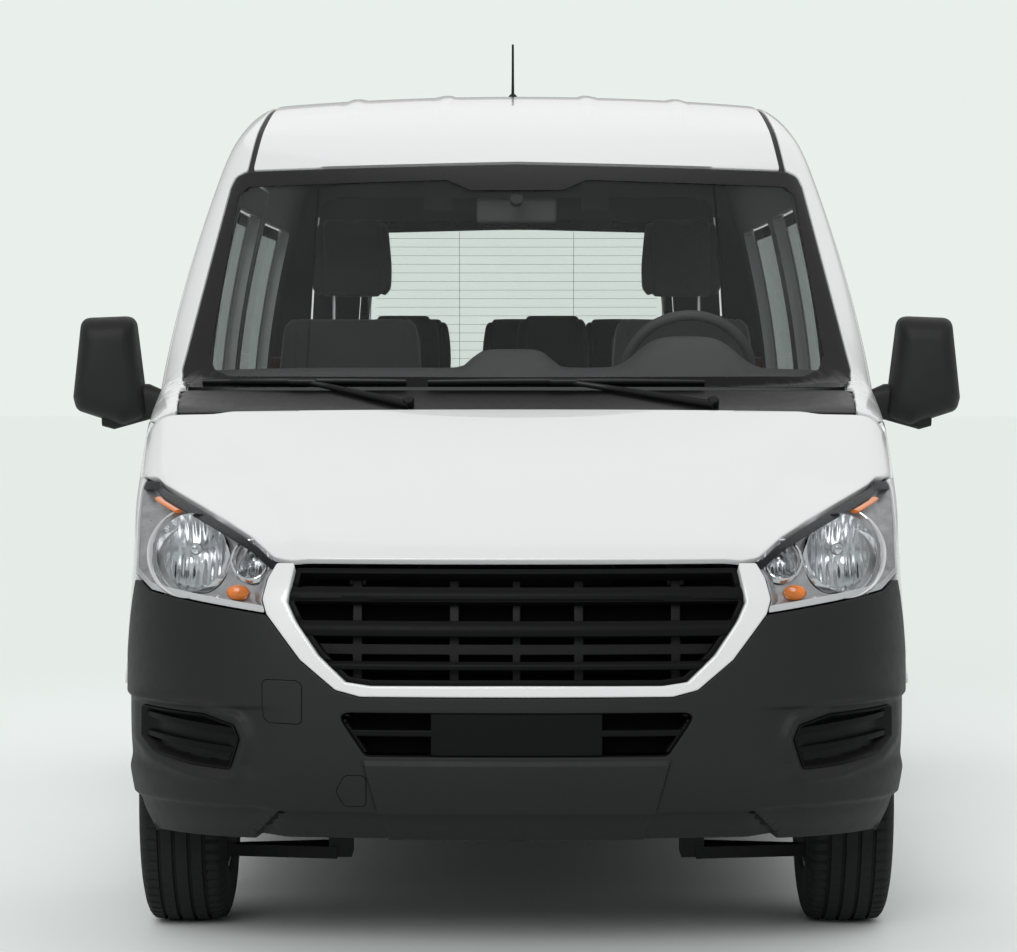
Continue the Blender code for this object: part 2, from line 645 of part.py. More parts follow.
def build_rear(parts):
    """Tailgate with its glass, tail lamps and the rear bumper."""
    gate = keep_inside(skin_shell(0.0, SKIN), prism(GATE, "y", 4.95, 5.5))
    cut(gate, prism(rounded(REAR_WINDOW, 0.05), "y", 4.7, 5.6))
    for x in (-GATE_HINGE_X, GATE_HINGE_X):
        cut(gate, gate_rod(x - 0.0304, x + 0.0304, 0.036, 24))
    parts["tailgate"] = gate
    glass = keep_inside(skin_shell(0.004, 0.009), prism(grow(rounded(REAR_WINDOW, 0.05), -FIT_GAP), "y", 4.9, 5.5))
    parts["rear_glass"] = glass
    lamp = keep_inside(skin_shell(-0.001, SKIN), prism(TAIL_LAMP, "y", 5.02, 5.5))
    parts["tail_lamp_left"] = lamp
    parts["tail_lamp_right"] = mirror_x(lamp, "tail_lamp_right")
    bumper = keep_inside(skin_shell(0.0, 0.040, 0.055), prism(REAR_BUMPER_SIDE, "x", -1.3, 1.3))
    cut(bumper, arch(REAR_AXLE, ARCH_RADIUS, 0.3, 1.3), arch(REAR_AXLE, ARCH_RADIUS, -1.3, -0.3))
    parts["rear_bumper"] = bumper


def build_mirror(parts):
    head = soft_box(1.035, 1.250, 1.290, 1.420, 1.335, 1.625, 0.035, 3)
    arm = soft_box(0.990, 1.110, 1.315, 1.385, 1.350, 1.420, 0.014, 2)
    mirror = join(head, arm)
    cut(mirror, box(1.055, 1.232, 1.405, 1.50, 1.360, 1.600))
    cut(mirror, skin_core(-FIT_GAP))
    parts["mirror_left"] = mirror
    parts["mirror_right"] = mirror_x(mirror, "mirror_right")


def build_floor(parts):
    """Floor, front bulkhead, long members and wheel boxes as one welded underbody."""
    floor = box(-1.0, 1.0, 1.24, 5.10, FLOOR_TOP - 0.05, FLOOR_TOP)
    bulkhead = box(-1.0, 1.0, 1.20, 1.24, 0.45, 1.335)
    join(floor, bulkhead)
    for s in (1, -1):
        x0, x1 = sorted((s * 0.42, s * 0.52))
        join(floor, box(x0, x1, 0.30, 4.95, 0.400, 0.515))
        x0, x1 = sorted((s * 0.545, s * 0.555))
        join(floor, box(x0, x1, 0.42, 1.22, 0.42, 0.980))
        x0, x1 = sorted((s * 0.50, s * 0.56))
        join(floor, box(x0, x1, 0.42, 0.60, 0.42, 0.50))
        x0, x1 = sorted((s * 0.545, s * 0.760))
        join(floor, box(x0, x1, 0.78, 0.96, 0.970, 0.985))
        x0, x1 = sorted((s * 0.71, s * 1.0))
        tub = keep_inside(arch(REAR_AXLE, ARCH_RADIUS + 0.012, x0, x1),
                          box(x0, x1, 3.7, 4.9, 0.50, 0.9))
        join(floor, tub)
    for s in (1, -1):
        x0, x1 = sorted((s * 0.735, s * 1.1))
        cut(floor, arch(REAR_AXLE, ARCH_RADIUS, x0, x1))
        x0, x1 = sorted((s * 0.57, s * 1.1))
        cut(floor, arch(FRONT_AXLE, ARCH_RADIUS, x0, x1))
    keep_inside(floor, skin_core(SKIN + 0.006))
    for s in (1, -1):
        cut(floor, hinge_rod(0.068, 0.80, 1.45, s))
    for u in (1.42, 2.40, 3.50):
        sill = keep_inside(box(-1.0, 1.0, u, u + 0.07, 0.345, 0.392), skin_core(SKIN + FIT_GAP))
        join(floor, sill, box(-0.50, 0.50, u + 0.01, u + 0.06, 0.37, 0.52))
    step = box(-1.0, -0.90, SLIDER_FRONT + 0.03, SLIDER_REAR - 0.20, FLOOR_TOP - 0.040, FLOOR_TOP - 0.004)
    join(floor, keep_inside(step, skin_core(SKIN + FIT_GAP)))
    for s in (1, -1):
        for z in HINGE_HEIGHTS:
            x0, x1 = sorted((s * 0.900, s * DOOR_HINGE_X))
            arm = box(x0, x1, DOOR_HINGE_U - 0.005, DOOR_HINGE_U + 0.005, z - 0.018, z + 0.018)
            barrel = rod((s * DOOR_HINGE_X, DOOR_HINGE_U, z - 0.020), (s * DOOR_HINGE_X, DOOR_HINGE_U, z + 0.020), 0.006, 10)
            join(floor, join(arm, barrel))
        join(floor, steer_rod(s, STEER_HIGH[1] + FIT_GAP, STEER_HIGH[1] + 0.032, 0.040, 14))
    parts["underbody"] = floor

    parts["engine"] = soft_box(-0.27, 0.27, 0.46, 1.06, 0.400, 0.96, 0.02, 1)
    radiator = box(-0.50, 0.50, 0.235, 0.2996, 0.420, 0.90)
    for x in (-0.40, 0.40):
        stop = box(x - 0.02, x + 0.02, 0.245, 0.290, 0.85, 1.20)
        join(radiator, keep_inside(stop, skin_core(BONNET_SKIN + FIT_GAP)))
    parts["radiator"] = radiator
    parts["fuel_tank"] = soft_box(-0.38, 0.0, 2.50, 3.40, 0.26, 0.5096, 0.03, 1)


def steer_rod(side, z0, z1, radius, steps):
    """A round bar along the steering axis of one side, between two heights."""
    slope = (STEER_HIGH[0] - STEER_LOW[0]) / (STEER_HIGH[1] - STEER_LOW[1])
    a = (side * (STEER_LOW[0] + slope * (z0 - STEER_LOW[1])), FRONT_AXLE, z0)
    b = (side * (STEER_LOW[0] + slope * (z1 - STEER_LOW[1])), FRONT_AXLE, z1)
    return rod(a, b, radius, steps)


def build_cabin(parts):
    """Dashboard, steering wheel and seats."""
    side = rounded([(1.2404, 1.000), (1.2404, 1.360), (1.300, 1.400), (1.420, 1.480), (1.520, 1.480),
                    (1.640, 1.400), (1.660, 1.200), (1.560, 1.000)], 0.03, 2)
    dash = prism(side, "x", -1.0, 1.0)
    hood = soft_box(0.300, 0.670, 1.36, 1.60, 1.30, 1.572, 0.05, 2)
    hump = soft_box(-0.150, 0.120, 1.34, 1.60, 1.30, 1.535, 0.03, 2)
    stack = soft_box(-0.150, 0.150, 1.32, 1.66, FLOOR_TOP + 0.10, 1.20, 0.03, 2)
    join(dash, hood, hump, stack)
    keep_inside(dash, skin_core(SKIN + 0.006))
    parts["dashboard"] = dash

    tilt = Vector((0, 0.90, 0.44)).normalized()
    centre = Vector((STEER_X, STEER_U + Y0, STEER_Z))
    ring = []
    for k in range(6):
        a = k / 6 * math.tau
        ring.append((0.016 * math.sin(a), 0.185 + 0.016 * math.cos(a)))
    wheel = lathe(ring, centre, tilt, 26)
    hub = lathe([(-0.045, 0), (0.020, 0), (0.020, 0.065), (-0.045, 0.075)], centre, tilt, 20)
    spoke = box(-0.19, 0.19, -0.012, 0.012, -0.022, 0.022)
    spoke.data.transform(Matrix.Translation((0, -Y0, 0)))
    spoke.data.transform(Matrix.Translation(centre) @ tilt.to_track_quat("Y", "Z").to_matrix().to_4x4())
    down = box(-0.022, 0.022, -0.012, 0.012, -0.19, 0.0)
    down.data.transform(Matrix.Translation((0, -Y0, 0)))
    down.data.transform(Matrix.Translation(centre) @ tilt.to_track_quat("Y", "Z").to_matrix().to_4x4())
    join(wheel, hub, spoke, down)
    parts["steering_wheel"] = wheel
    column = lathe([(-0.30, 0), (-0.0454, 0), (-0.0454, 0.038), (-0.30, 0.045)], centre, tilt, 14)
    join(parts["dashboard"], column)

    for name, x, u, half in (("driver_seat", 0.51, 1.98, 0.265), ("passenger_seat", -0.51, 1.98, 0.265)):
        parts[name] = seat(x, u, half, (0.0,))
    parts["second_bench"] = seat(0.12, 2.98, 0.74, (-0.50, 0.0, 0.50))
    parts["third_bench"] = seat(0.0, 3.93, 0.52, (-0.36, 0.0, 0.36))

    glass_mirror = soft_box(-0.115, 0.115, 1.815, 1.845, 1.905, 1.980, 0.012, 2)
    stem = rod((0.0, 1.835, 1.950), (0.0, 1.905, 2.030), 0.010, 10)
    pad = soft_box(-0.150, 0.150, 1.860, 2.060, 1.995, 2.20, 0.012, 1)
    inner = join(glass_mirror, stem, pad)
    keep_inside(inner, skin_core(0.036))
    parts["inner_mirror"] = inner


def seat(x, u, half, heads):
    """A seat on a plinth: cushion, reclined back and a head restraint for each place."""
    base = box(x - half + 0.06, x + half - 0.06, u - 0.16, u + 0.20, FLOOR_TOP + FIT_GAP, 0.86)
    cushion = soft_box(x - half, x + half, u - 0.30, u + 0.26, 0.84, 0.99, 0.045, 2)
    back = soft_box(x - half, x + half, u + 0.17, u + 0.29, 0.93, 1.665, 0.045, 2)
    turn = Matrix.Translation((0, u + 0.23 + Y0, 0.93)) @ Matrix.Rotation(-0.22, 4, "X")
    turn = turn @ Matrix.Translation((0, -(u + 0.23 + Y0), -0.93))
    back.data.transform(turn)
    out = join(base, cushion, back)
    for h in heads:
        head = soft_box(x + h - 0.135, x + h + 0.135, u + 0.185, u + 0.275, 1.715, 1.975, 0.035, 2)
        head.data.transform(turn)
        out = join(out, head)
        for p in (-0.06, 0.06):
            post = rod((x + h + p, u + 0.232, 1.56), (x + h + p, u + 0.232, 1.80), 0.007, 6)
            post.data.transform(turn)
            out = join(out, post)
    return out


def build_running_gear(parts):
    """Wheels, steering knuckles with their struts, front cross member and the rear axle."""
    w = TYRE_WIDTH / 2
    r = TYRE_RADIUS
    tyre = [(-w + 0.012, RIM_RADIUS), (w - 0.012, RIM_RADIUS), (w, r - 0.075), (w - 0.012, r - 0.012),
            (w - 0.036, r), (-w + 0.036, r), (-w + 0.012, r - 0.012), (-w, r - 0.075)]
    rim_r = RIM_RADIUS - FIT_GAP
    rim = [(-w + 0.013, rim_r - 0.016), (-w + 0.013, rim_r), (w - 0.013, rim_r), (w - 0.013, rim_r - 0.014),
           (w - 0.045, 0.150), (w - 0.030, 0.070), (w - 0.030, HUB_RADIUS + 0.0006), (0.012, HUB_RADIUS + 0.0006), (0.012, 0.080),
           (w - 0.060, rim_r - 0.030)]
    for side in (1, -1):
        for end, u in (("front", FRONT_AXLE), ("rear", REAR_AXLE)):
            label = end + ("_left" if side > 0 else "_right")
            centre = (side * WHEEL_X, u + Y0, r)
            axis = (side, 0, 0)
            parts["tyre_" + label] = lathe(tyre, centre, axis, 28)
            parts["rim_" + label] = lathe(rim, centre, axis, 28)

    stub = lathe([(-0.10, 0), (0.060, 0), (0.060, HUB_RADIUS), (0.006, HUB_RADIUS), (0.006, 0.062), (-0.10, 0.062)],
                 (WHEEL_X, FRONT_AXLE + Y0, r), (1, 0, 0), 16)
    upright = steer_rod(1, STEER_LOW[1], 0.62, 0.030, 14)
    damper = steer_rod(1, 0.60, STEER_HIGH[1], 0.024, 14)
    spring = steer_rod(1, 0.70, 0.915, 0.046, 16)
    arm = box(0.735, 0.775, 0.735 + 0.02, 0.87, 0.285, 0.325)
    knuckle = join(stub, upright, damper, spring, arm)
    parts["knuckle_left"] = knuckle
    parts["knuckle_right"] = mirror_x(knuckle, "knuckle_right")

    cross = box(-0.50, 0.50, 0.78, 0.96, 0.290, 0.3996)
    for s in (1, -1):
        link = prism([(0.48, 0.79), (0.48, 0.95), (0.745, 0.895), (0.780, 0.895), (0.780, 0.845), (0.745, 0.845)],
                     "z", 0.172, 0.204)
        x0, x1 = 0.440, 0.500
        foot = box(x0 + 0.001, x1 + 0.002, 0.795, 0.945, 0.176, 0.300)
        join(link, foot, steer_rod(1, STEER_LOW[1] - 0.028, STEER_LOW[1] - FIT_GAP, 0.024, 12))
        if s < 0:
            flipped = mirror_x(link, "link")
            bpy.data.objects.remove(link)
            link = flipped
        join(cross, link)
    rack = rod((-0.50, 0.76, 0.345), (0.50, 0.76, 0.345), 0.024, 12)
    join(cross, rack, box(-0.40, -0.34, 0.75, 0.80, 0.32, 0.37), box(0.34, 0.40, 0.75, 0.80, 0.32, 0.37))
    parts["front_subframe"] = cross

    beam = rod((-0.80, REAR_AXLE, r), (0.80, REAR_AXLE, r), 0.036, 10)
    for s in (1, -1):
        hub = lathe([(-0.12, 0), (0.060, 0), (0.060, HUB_RADIUS), (0.006, HUB_RADIUS), (0.006, 0.062), (-0.12, 0.062)],
                    (s * WHEEL_X, REAR_AXLE + Y0, r), (s, 0, 0), 16)
        x0, x1 = sorted((s * 0.435, s * 0.505))
        leaf = box(x0, x1, 3.62, 4.92, 0.300, 0.330)
        pad = box(x0 - 0.003, x1 + 0.003, 4.20, 4.34, 0.296, 0.385)
        eye_a = box(x0 + 0.002, x1 - 0.002, 3.63, 3.69, 0.305, 0.3996)
        eye_b = box(x0 + 0.002, x1 - 0.002, 4.85, 4.91, 0.305, 0.3996)
        join(beam, hub, leaf, pad, eye_a, eye_b)
    parts["rear_axle"] = beam

FINISH = {
    "paint": ((0.80, 0.80, 0.79), 0.0, 0.30),
    "plastic": ((0.035, 0.036, 0.038), 0.0, 0.55),
    "bright": ((0.75, 0.76, 0.77), 0.9, 0.15),
    "glass": ((0.05, 0.06, 0.06), 0.0, 0.05),
    "tyre": ((0.015, 0.015, 0.016), 0.0, 0.85),
    "steel": ((0.45, 0.46, 0.47), 0.8, 0.40),
    "iron": ((0.08, 0.08, 0.085), 0.5, 0.60),
    "fabric": ((0.12, 0.12, 0.13), 0.0, 0.90),
    "red": ((0.45, 0.02, 0.02), 0.0, 0.15),
}


def finish_of(name):
    if "glass" in name or name == "windscreen":
        return "glass"
    if name.startswith("tyre"):
        return "tyre"
    if name.startswith("rim"):
        return "steel"
    if name.startswith("headlamp"):
        return "bright"
    if name.startswith("tail_lamp"):
        return "red"
    if name in ("engine", "radiator", "fuel_tank", "front_subframe", "rear_axle") or "knuckle" in name:
        return "iron"
    if name.endswith("_seat") or name.endswith("_bench"):
        return "fabric"
    if name in ("front_bumper", "rear_bumper", "lower_grille", "grille", "cowl", "aerial", "dashboard",
                "steering_wheel", "inner_mirror") or name.startswith("mirror"):
        return "plastic"
    return "paint"


ORIGINS = {
    "bonnet": (0.0, BONNET_HINGE_U, BONNET_HINGE_Z),
    "tailgate": (0.0, GATE_HINGE_U, GATE_HINGE_Z),
    "rear_glass": (0.0, GATE_HINGE_U, GATE_HINGE_Z),
    "steering_wheel": (STEER_X, STEER_U, STEER_Z),
}


def origin_of(name):
    side = 1 if name.endswith("left") else -1
    if name in ORIGINS:
        return ORIGINS[name]
    if name.startswith(("front_door", "mirror")):
        return (side * DOOR_HINGE_X, DOOR_HINGE_U, 1.0)
    if name.startswith("knuckle"):
        return (side * STEER_LOW[0], FRONT_AXLE, STEER_LOW[1])
    if name.startswith(("tyre", "rim")):
        return (side * WHEEL_X, FRONT_AXLE if "front" in name else REAR_AXLE, TYRE_RADIUS)
    return (0.0, -Y0, 0.0)


def clean(obj):
    """Weld doubled points, drop slivers and make the triangles that the file format holds."""
    bm = bmesh.new()
    bm.from_mesh(obj.data)
    bmesh.ops.remove_doubles(bm, verts=bm.verts, dist=0.00008)
    bmesh.ops.dissolve_degenerate(bm, edges=bm.edges, dist=0.00008)
    bmesh.ops.dissolve_limit(bm, angle_limit=math.radians(0.3), verts=bm.verts, edges=bm.edges)
    bmesh.ops.triangulate(bm, faces=[f for f in bm.faces if len(f.verts) > 4])
    if bm.calc_volume(signed=True) < 0:
        bmesh.ops.reverse_faces(bm, faces=bm.faces)
    bm.to_mesh(obj.data)
    bm.free()


def finish(parts):
    """Name every node, place its origin, give it a material and file it in the collection."""
    folder = bpy.data.collections.new("minibus")
    bpy.context.scene.collection.children.link(folder)
    keep = set()
    for name, obj in parts.items():
        clean(obj)
        obj.name = name
        obj.data.name = name
        x, u, z = origin_of(name)
        obj.data.transform(Matrix.Translation((-x, -(u + Y0), -z)))
        obj.location = (x, u + Y0, z)
        mat = bpy.data.materials.new(name + "_material")
        mat.use_nodes = True
        colour, metal, rough = FINISH[finish_of(name)]
        shader = mat.node_tree.nodes["Principled BSDF"]
        shader.inputs["Base Color"].default_value = (*colour, 1.0)
        shader.inputs["Metallic"].default_value = metal
        shader.inputs["Roughness"].default_value = rough
        if finish_of(name) == "glass":
            shader.inputs["Transmission Weight"].default_value = 0.8
        obj.data.materials.clear()
        obj.data.materials.append(mat)
        folder.objects.link(obj)
        bpy.context.scene.collection.objects.unlink(obj)
        keep.add(obj)
    for obj in list(bpy.data.objects):
        if obj not in keep:
            bpy.data.objects.remove(obj)


def main():
    for obj in list(bpy.data.objects):
        bpy.data.objects.remove(obj)
    parts = {}
    build_front(parts)
    build_top(parts)
    build_sides(parts)
    build_rear(parts)
    build_mirror(parts)
    build_floor(parts)
    build_cabin(parts)
    build_running_gear(parts)
    finish(parts)


main()
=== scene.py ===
"""A white passenger minibus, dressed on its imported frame.

Body panels are cut from one skin. The skin is where level() is zero, and a panel is the part of it
where its region function is negative. Sizes are metres, u is the distance behind the nose, and
y = u + Y0. Everything is made on the +X side first and mirrored where both sides are alike.
"""
import json
import math

import bpy
import numpy as np
from bpy.props import FloatProperty, FloatVectorProperty, IntProperty, PointerProperty
from mathutils import Matrix, Vector

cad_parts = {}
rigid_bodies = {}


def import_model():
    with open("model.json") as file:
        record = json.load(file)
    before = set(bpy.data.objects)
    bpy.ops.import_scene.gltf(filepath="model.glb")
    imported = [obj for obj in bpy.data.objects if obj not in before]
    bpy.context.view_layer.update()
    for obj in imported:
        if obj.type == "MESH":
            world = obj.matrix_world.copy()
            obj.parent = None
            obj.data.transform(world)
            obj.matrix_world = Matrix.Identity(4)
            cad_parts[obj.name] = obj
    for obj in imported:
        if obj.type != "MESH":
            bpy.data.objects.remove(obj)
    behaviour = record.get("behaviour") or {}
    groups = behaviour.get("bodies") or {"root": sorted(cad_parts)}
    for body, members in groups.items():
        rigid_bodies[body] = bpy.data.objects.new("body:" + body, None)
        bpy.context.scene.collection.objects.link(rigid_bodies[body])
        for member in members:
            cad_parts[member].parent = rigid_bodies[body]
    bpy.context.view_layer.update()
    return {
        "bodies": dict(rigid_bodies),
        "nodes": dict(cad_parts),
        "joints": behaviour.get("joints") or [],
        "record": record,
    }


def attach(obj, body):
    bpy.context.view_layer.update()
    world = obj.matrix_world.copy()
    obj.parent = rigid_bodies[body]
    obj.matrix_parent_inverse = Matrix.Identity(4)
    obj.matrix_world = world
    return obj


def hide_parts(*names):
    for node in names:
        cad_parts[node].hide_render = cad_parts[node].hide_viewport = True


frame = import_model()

bl_info = {
    "name": "Minibus dressing",
    "version": (1, 0, 0),
    "blender": (4, 5, 0),
    "location": "3D View > Sidebar > Minibus",
    "description": "Builds the visible panels, trim, cabin and wheels of a minibus on its frame",
    "category": "Object",
}

LENGTH = 5.30
HALF_WIDTH = 1.01
ROOF_HEIGHT = 2.355
BOTTOM = 0.30
FRONT_AXLE = 0.87
REAR_AXLE = 4.27
TYRE_RADIUS = 0.345
WHEEL_X = 0.875
ARCH_RADIUS = 0.445
Y0 = -LENGTH / 2
GAP = 0.007
LINE_REACH = (0.028, 0.017)
FINE_REACH = (0.022, 0.013, 0.007)
SLIDER_FRONT = 2.47
SLIDER_REAR = 3.58
STEER_CENTRE = (0.50, 1.70, 1.470)


# Depths and heights of the line inside the body from which the skin's rays start
ORIGIN_LINE = ([0.5, 1.0, 2.1], [0.85, 1.05, 2.0])
SWAGE = 1.235
HANDLE_HEIGHT = 1.161
RIBS = (0.22, 0.505)
GATE_HINGE = (0.30, 5.136, 2.155)
FAR = 9.0


# Skin of the body

def smooth_max(a, b, k):
    """The larger of two values, rounded off over a width of about k."""
    return np.maximum(a, b) + np.maximum(k - np.abs(a - b), 0.0) ** 2 / (4 * k)


def step(value, low, high):
    """0 below low, 1 above high, and 3t^2 - 2t^3 in between."""
    t = np.clip((value - low) / (high - low), 0, 1)
    return t * t * (3 - 2 * t)


def through(value, knots, heights):
    """A smooth curve through knots: cubic Hermite pieces whose slopes are central differences."""
    knots = np.asarray(knots, float)
    heights = np.asarray(heights, float)
    slopes = np.gradient(heights, knots)
    value = np.clip(value, knots[0], knots[-1])
    k = np.clip(np.searchsorted(knots, value) - 1, 0, len(knots) - 2)
    width = knots[k + 1] - knots[k]
    t = (value - knots[k]) / width
    a = (2 * t ** 3 - 3 * t ** 2 + 1) * heights[k] + (t ** 3 - 2 * t ** 2 + t) * width * slopes[k]
    b = (3 * t ** 2 - 2 * t ** 3) * heights[k + 1] + (t ** 3 - t ** 2) * width * slopes[k + 1]
    return a + b


def side_width(u, z):
    """Half width: upright to the belt line, then leaning in as the 1.75th power of the height."""
    lean = 0.19 * np.maximum(z - 1.30, 0) ** 1.75
    tuck = 0.25 * np.maximum(0.55 - z, 0) ** 2
    nose = 0.010 * np.maximum((1.6 - u) / 1.1, 0) ** 2
    flare = 0.012 * np.clip((0.95 - u) / 0.4, 0, 1) * np.clip((1.0 - z) / 0.25, 0, 1)
    tail = 0.030 * np.maximum((u - LENGTH + 1.5) / 1.5, 0) ** 2
    return HALF_WIDTH - lean - tuck - nose + flare - tail


def roof_height(x, u):
    """Roof skin: a parabola across, falling as a cube to the front and a square to the rear."""
    front = 0.1087 * np.maximum(3.2 - u, 0) ** 3
    rear = 0.03 * np.maximum((u - LENGTH + 0.7) / 0.7, 0) ** 2
    return ROOF_HEIGHT - 0.035 * (x / 0.8) ** 2 - front - rear


def bonnet_height(x, u):
    """Bonnet skin: a parabola down to the nose, rounded across by the 2.5th power of x."""
    e = 1.0 - u
    crown = 0.075 * np.abs(x / 0.95) ** 2.5 * np.clip(e / 0.40, 0, 1)
    return 1.383 - 0.30 * e - 0.115 * e * e - crown


def screen_u(x, z):
    """Windscreen: a sloping plane, curved back at its sides as a parabola."""
    return 1.0 + (z - 1.383) / 0.832 + 0.16 * (x / 0.85) ** 2


def nose_u(x, z):
    """Front face: a smooth curve over the height plus a parabola across."""
    heights = [0.30, 0.36, 0.45, 0.58, 0.70, 0.85, 1.00, 1.10]
    depths = [0.12, 0.06, 0.015, 0.0, 0.005, 0.025, 0.07, 0.12]
    return through(z, heights, depths) + 0.15 * x ** 2


def tail_u(x, z, extra=0.0):
    """Rear face: leaning forward above the belt line, with a parabola across."""
    rake = 0.11 * np.clip((z - 1.15) / 1.15, 0, 1.2) ** 1.5
    return LENGTH - 0.055 + extra - rake - 0.045 * (x / 0.9) ** 2


def level(p, extra=0.0):
    """Zero on the skin and negative inside: all the faces above, blended by smooth_max."""
    x, u, z = np.abs(p[:, 0]), p[:, 1], p[:, 2]
    screen = (screen_u(x, z) - u) * 0.64
    cabin = smooth_max(z - roof_height(x, u), screen, 0.04)
    top = np.minimum(cabin, z - bonnet_height(x, u))
    around = smooth_max(x - side_width(u, z), nose_u(x, z) - u, 0.42)
    f = smooth_max(around, top, 0.09)
    return smooth_max(f, u - tail_u(x, z, extra), 0.14)


def slope_of(p, extra=0.0):
    """Gradient of level by central differences."""
    e = 0.0005
    out = np.zeros_like(p)
    for axis in range(3):
        d = np.zeros(3)
        d[axis] = e
        out[:, axis] = (level(p + d, extra) - level(p - d, extra)) / (2 * e)
    return out


def settle(p, extra=0.0, rounds=2):
    """Newton steps back onto the skin along the gradient; the middle plane stays at x = 0."""
    middle = np.abs(p[:, 0]) < 1e-9
    for _ in range(rounds):
        g = slope_of(p, extra)
        p = p - g * (level(p, extra) / np.maximum((g ** 2).sum(1), 0.05))[:, None]
        p[middle, 0] = 0.0
    return p


def cast(start, direction, extra=0.0, reach=1.4):
    """Halve the step along each ray 30 times between inside and outside."""
    low = np.zeros(len(start))
    high = np.full(len(start), reach)
    for _ in range(30):
        mid = (low + high) / 2
        inside = level(start + direction * mid[:, None], extra) < 0
        low = np.where(inside, mid, low)
        high = np.where(inside, high, mid)
    return start + direction * low[:, None]


def xuz(x, u, z):
    """Points from their coordinates, each an array or one value for all."""
    return np.stack(np.broadcast_arrays(x, u, z), -1)


def half_skin(extra=0.0):
    """The +X half of the skin as a triangle grid.

    Rays start on a line inside the body. Below the line they go out level, above it they fan up
    through a quarter turn, and straight up over the middle of the roof and bonnet.
    """
    cx, u0, u1 = 0.58, 0.50, LENGTH - 0.45
    rows_low, rows_fan = 56, 30
    nose = [(x, u0, 0, -1) for x in np.linspace(0, cx, 28)[:-1]]
    corner = [(cx, u0, math.sin(a), -math.cos(a)) for a in np.linspace(0, math.pi / 2, 32)]
    sides = np.concatenate([np.linspace(u0, 2.2, 80)[1:], np.linspace(2.2, u1, 76)[1:]])
    flank = [(cx, u, 1, 0) for u in sides]
    back = [(cx, u1, math.cos(a), math.sin(a)) for a in np.linspace(0, math.pi / 2, 22)[1:]]
    tail = [(x, u1, 0, 1) for x in np.linspace(cx, 0, 28)[1:]]
    st = np.array(nose + corner + flank + back + tail, float)
    zp = np.interp(st[:, 1], *ORIGIN_LINE)
    low = np.linspace(0, 1, rows_low)[:-1, None]
    start = xuz(st[:, 0], st[:, 1], BOTTOM + (zp - BOTTOM) * low)
    ray = xuz(st[:, 2], st[:, 3], 0 * low)
    a = np.linspace(0, math.pi / 2, rows_fan)[:, None]
    start2 = xuz(st[:, 0], st[:, 1], zp + 0 * a)
    ray2 = xuz(st[:, 2] * np.cos(a), st[:, 3] * np.cos(a), np.sin(a))
    starts = np.concatenate([start, start2])
    rays = np.concatenate([ray, ray2])
    rows, n = starts.shape[:2]
    top_x = np.linspace(0, cx, 28)[:-1]
    top_u = np.concatenate([[u0], sides])
    gx, gu = np.meshgrid(top_x, top_u)
    top = xuz(gx, gu, np.interp(gu, *ORIGIN_LINE))
    up = np.zeros_like(top)
    up[..., 2] = 1
    p = cast(np.concatenate([starts.reshape(-1, 3), top.reshape(-1, 3)]),
             np.concatenate([rays.reshape(-1, 3), up.reshape(-1, 3)]), extra)
    index = np.arange(rows * n).reshape(rows, n)
    quads = [grid_quads(index)]
    edge_col = index[-1, len(nose) + len(corner) - 1 + np.arange(len(top_u))]
    sheet = rows * n + np.arange(gx.size).reshape(gx.shape)
    sheet = np.concatenate([sheet, edge_col[:, None]], 1)
    quads.append(grid_quads(sheet.T))
    return merge(p, split(np.concatenate(quads)))


def meet(x, u, z, axis, sign):
    """Where rays from the points (x, u, z) along one axis meet the skin."""
    start = xuz(x, u, z)
    flat = start.reshape(-1, 3)
    ray = np.zeros_like(flat)
    ray[:, axis] = sign
    return cast(flat, ray)[:, axis].reshape(start.shape[:-1])


def front_u(x, z):
    """Depth of the front face, from a ray that starts in the cabin or under the bonnet."""
    return meet(x, np.where(np.asarray(z) > 1.37, 2.2, 0.95), z, 1, -1)


def rear_u(x, z):
    """Depth of the rear face."""
    return meet(x, 4.4, z, 1, 1)


def side_x(u, z):
    """Half width of the flank."""
    return meet(0.0, u, z, 0, 1)


def grid_quads(index):
    """Corner numbers of every cell of a grid of point numbers."""
    return np.stack([index[:-1, :-1], index[:-1, 1:], index[1:, 1:], index[1:, :-1]], 2).reshape(-1, 4)


def merge(p, tris, size=2e-5):
    """Points in the same small cell become one, and triangles that lose a corner go."""
    key = np.round(p / size).astype(np.int64)
    _, first, inverse = np.unique(key, axis=0, return_index=True, return_inverse=True)
    tris = inverse.reshape(-1)[tris]
    good = (tris[:, 0] != tris[:, 1]) & (tris[:, 1] != tris[:, 2]) & (tris[:, 2] != tris[:, 0])
    return p[first], tris[good]


def compact(p, tris):
    """Only the points that triangles use."""
    used, inverse = np.unique(tris, return_inverse=True)
    return p[used], inverse.reshape(-1, 3)


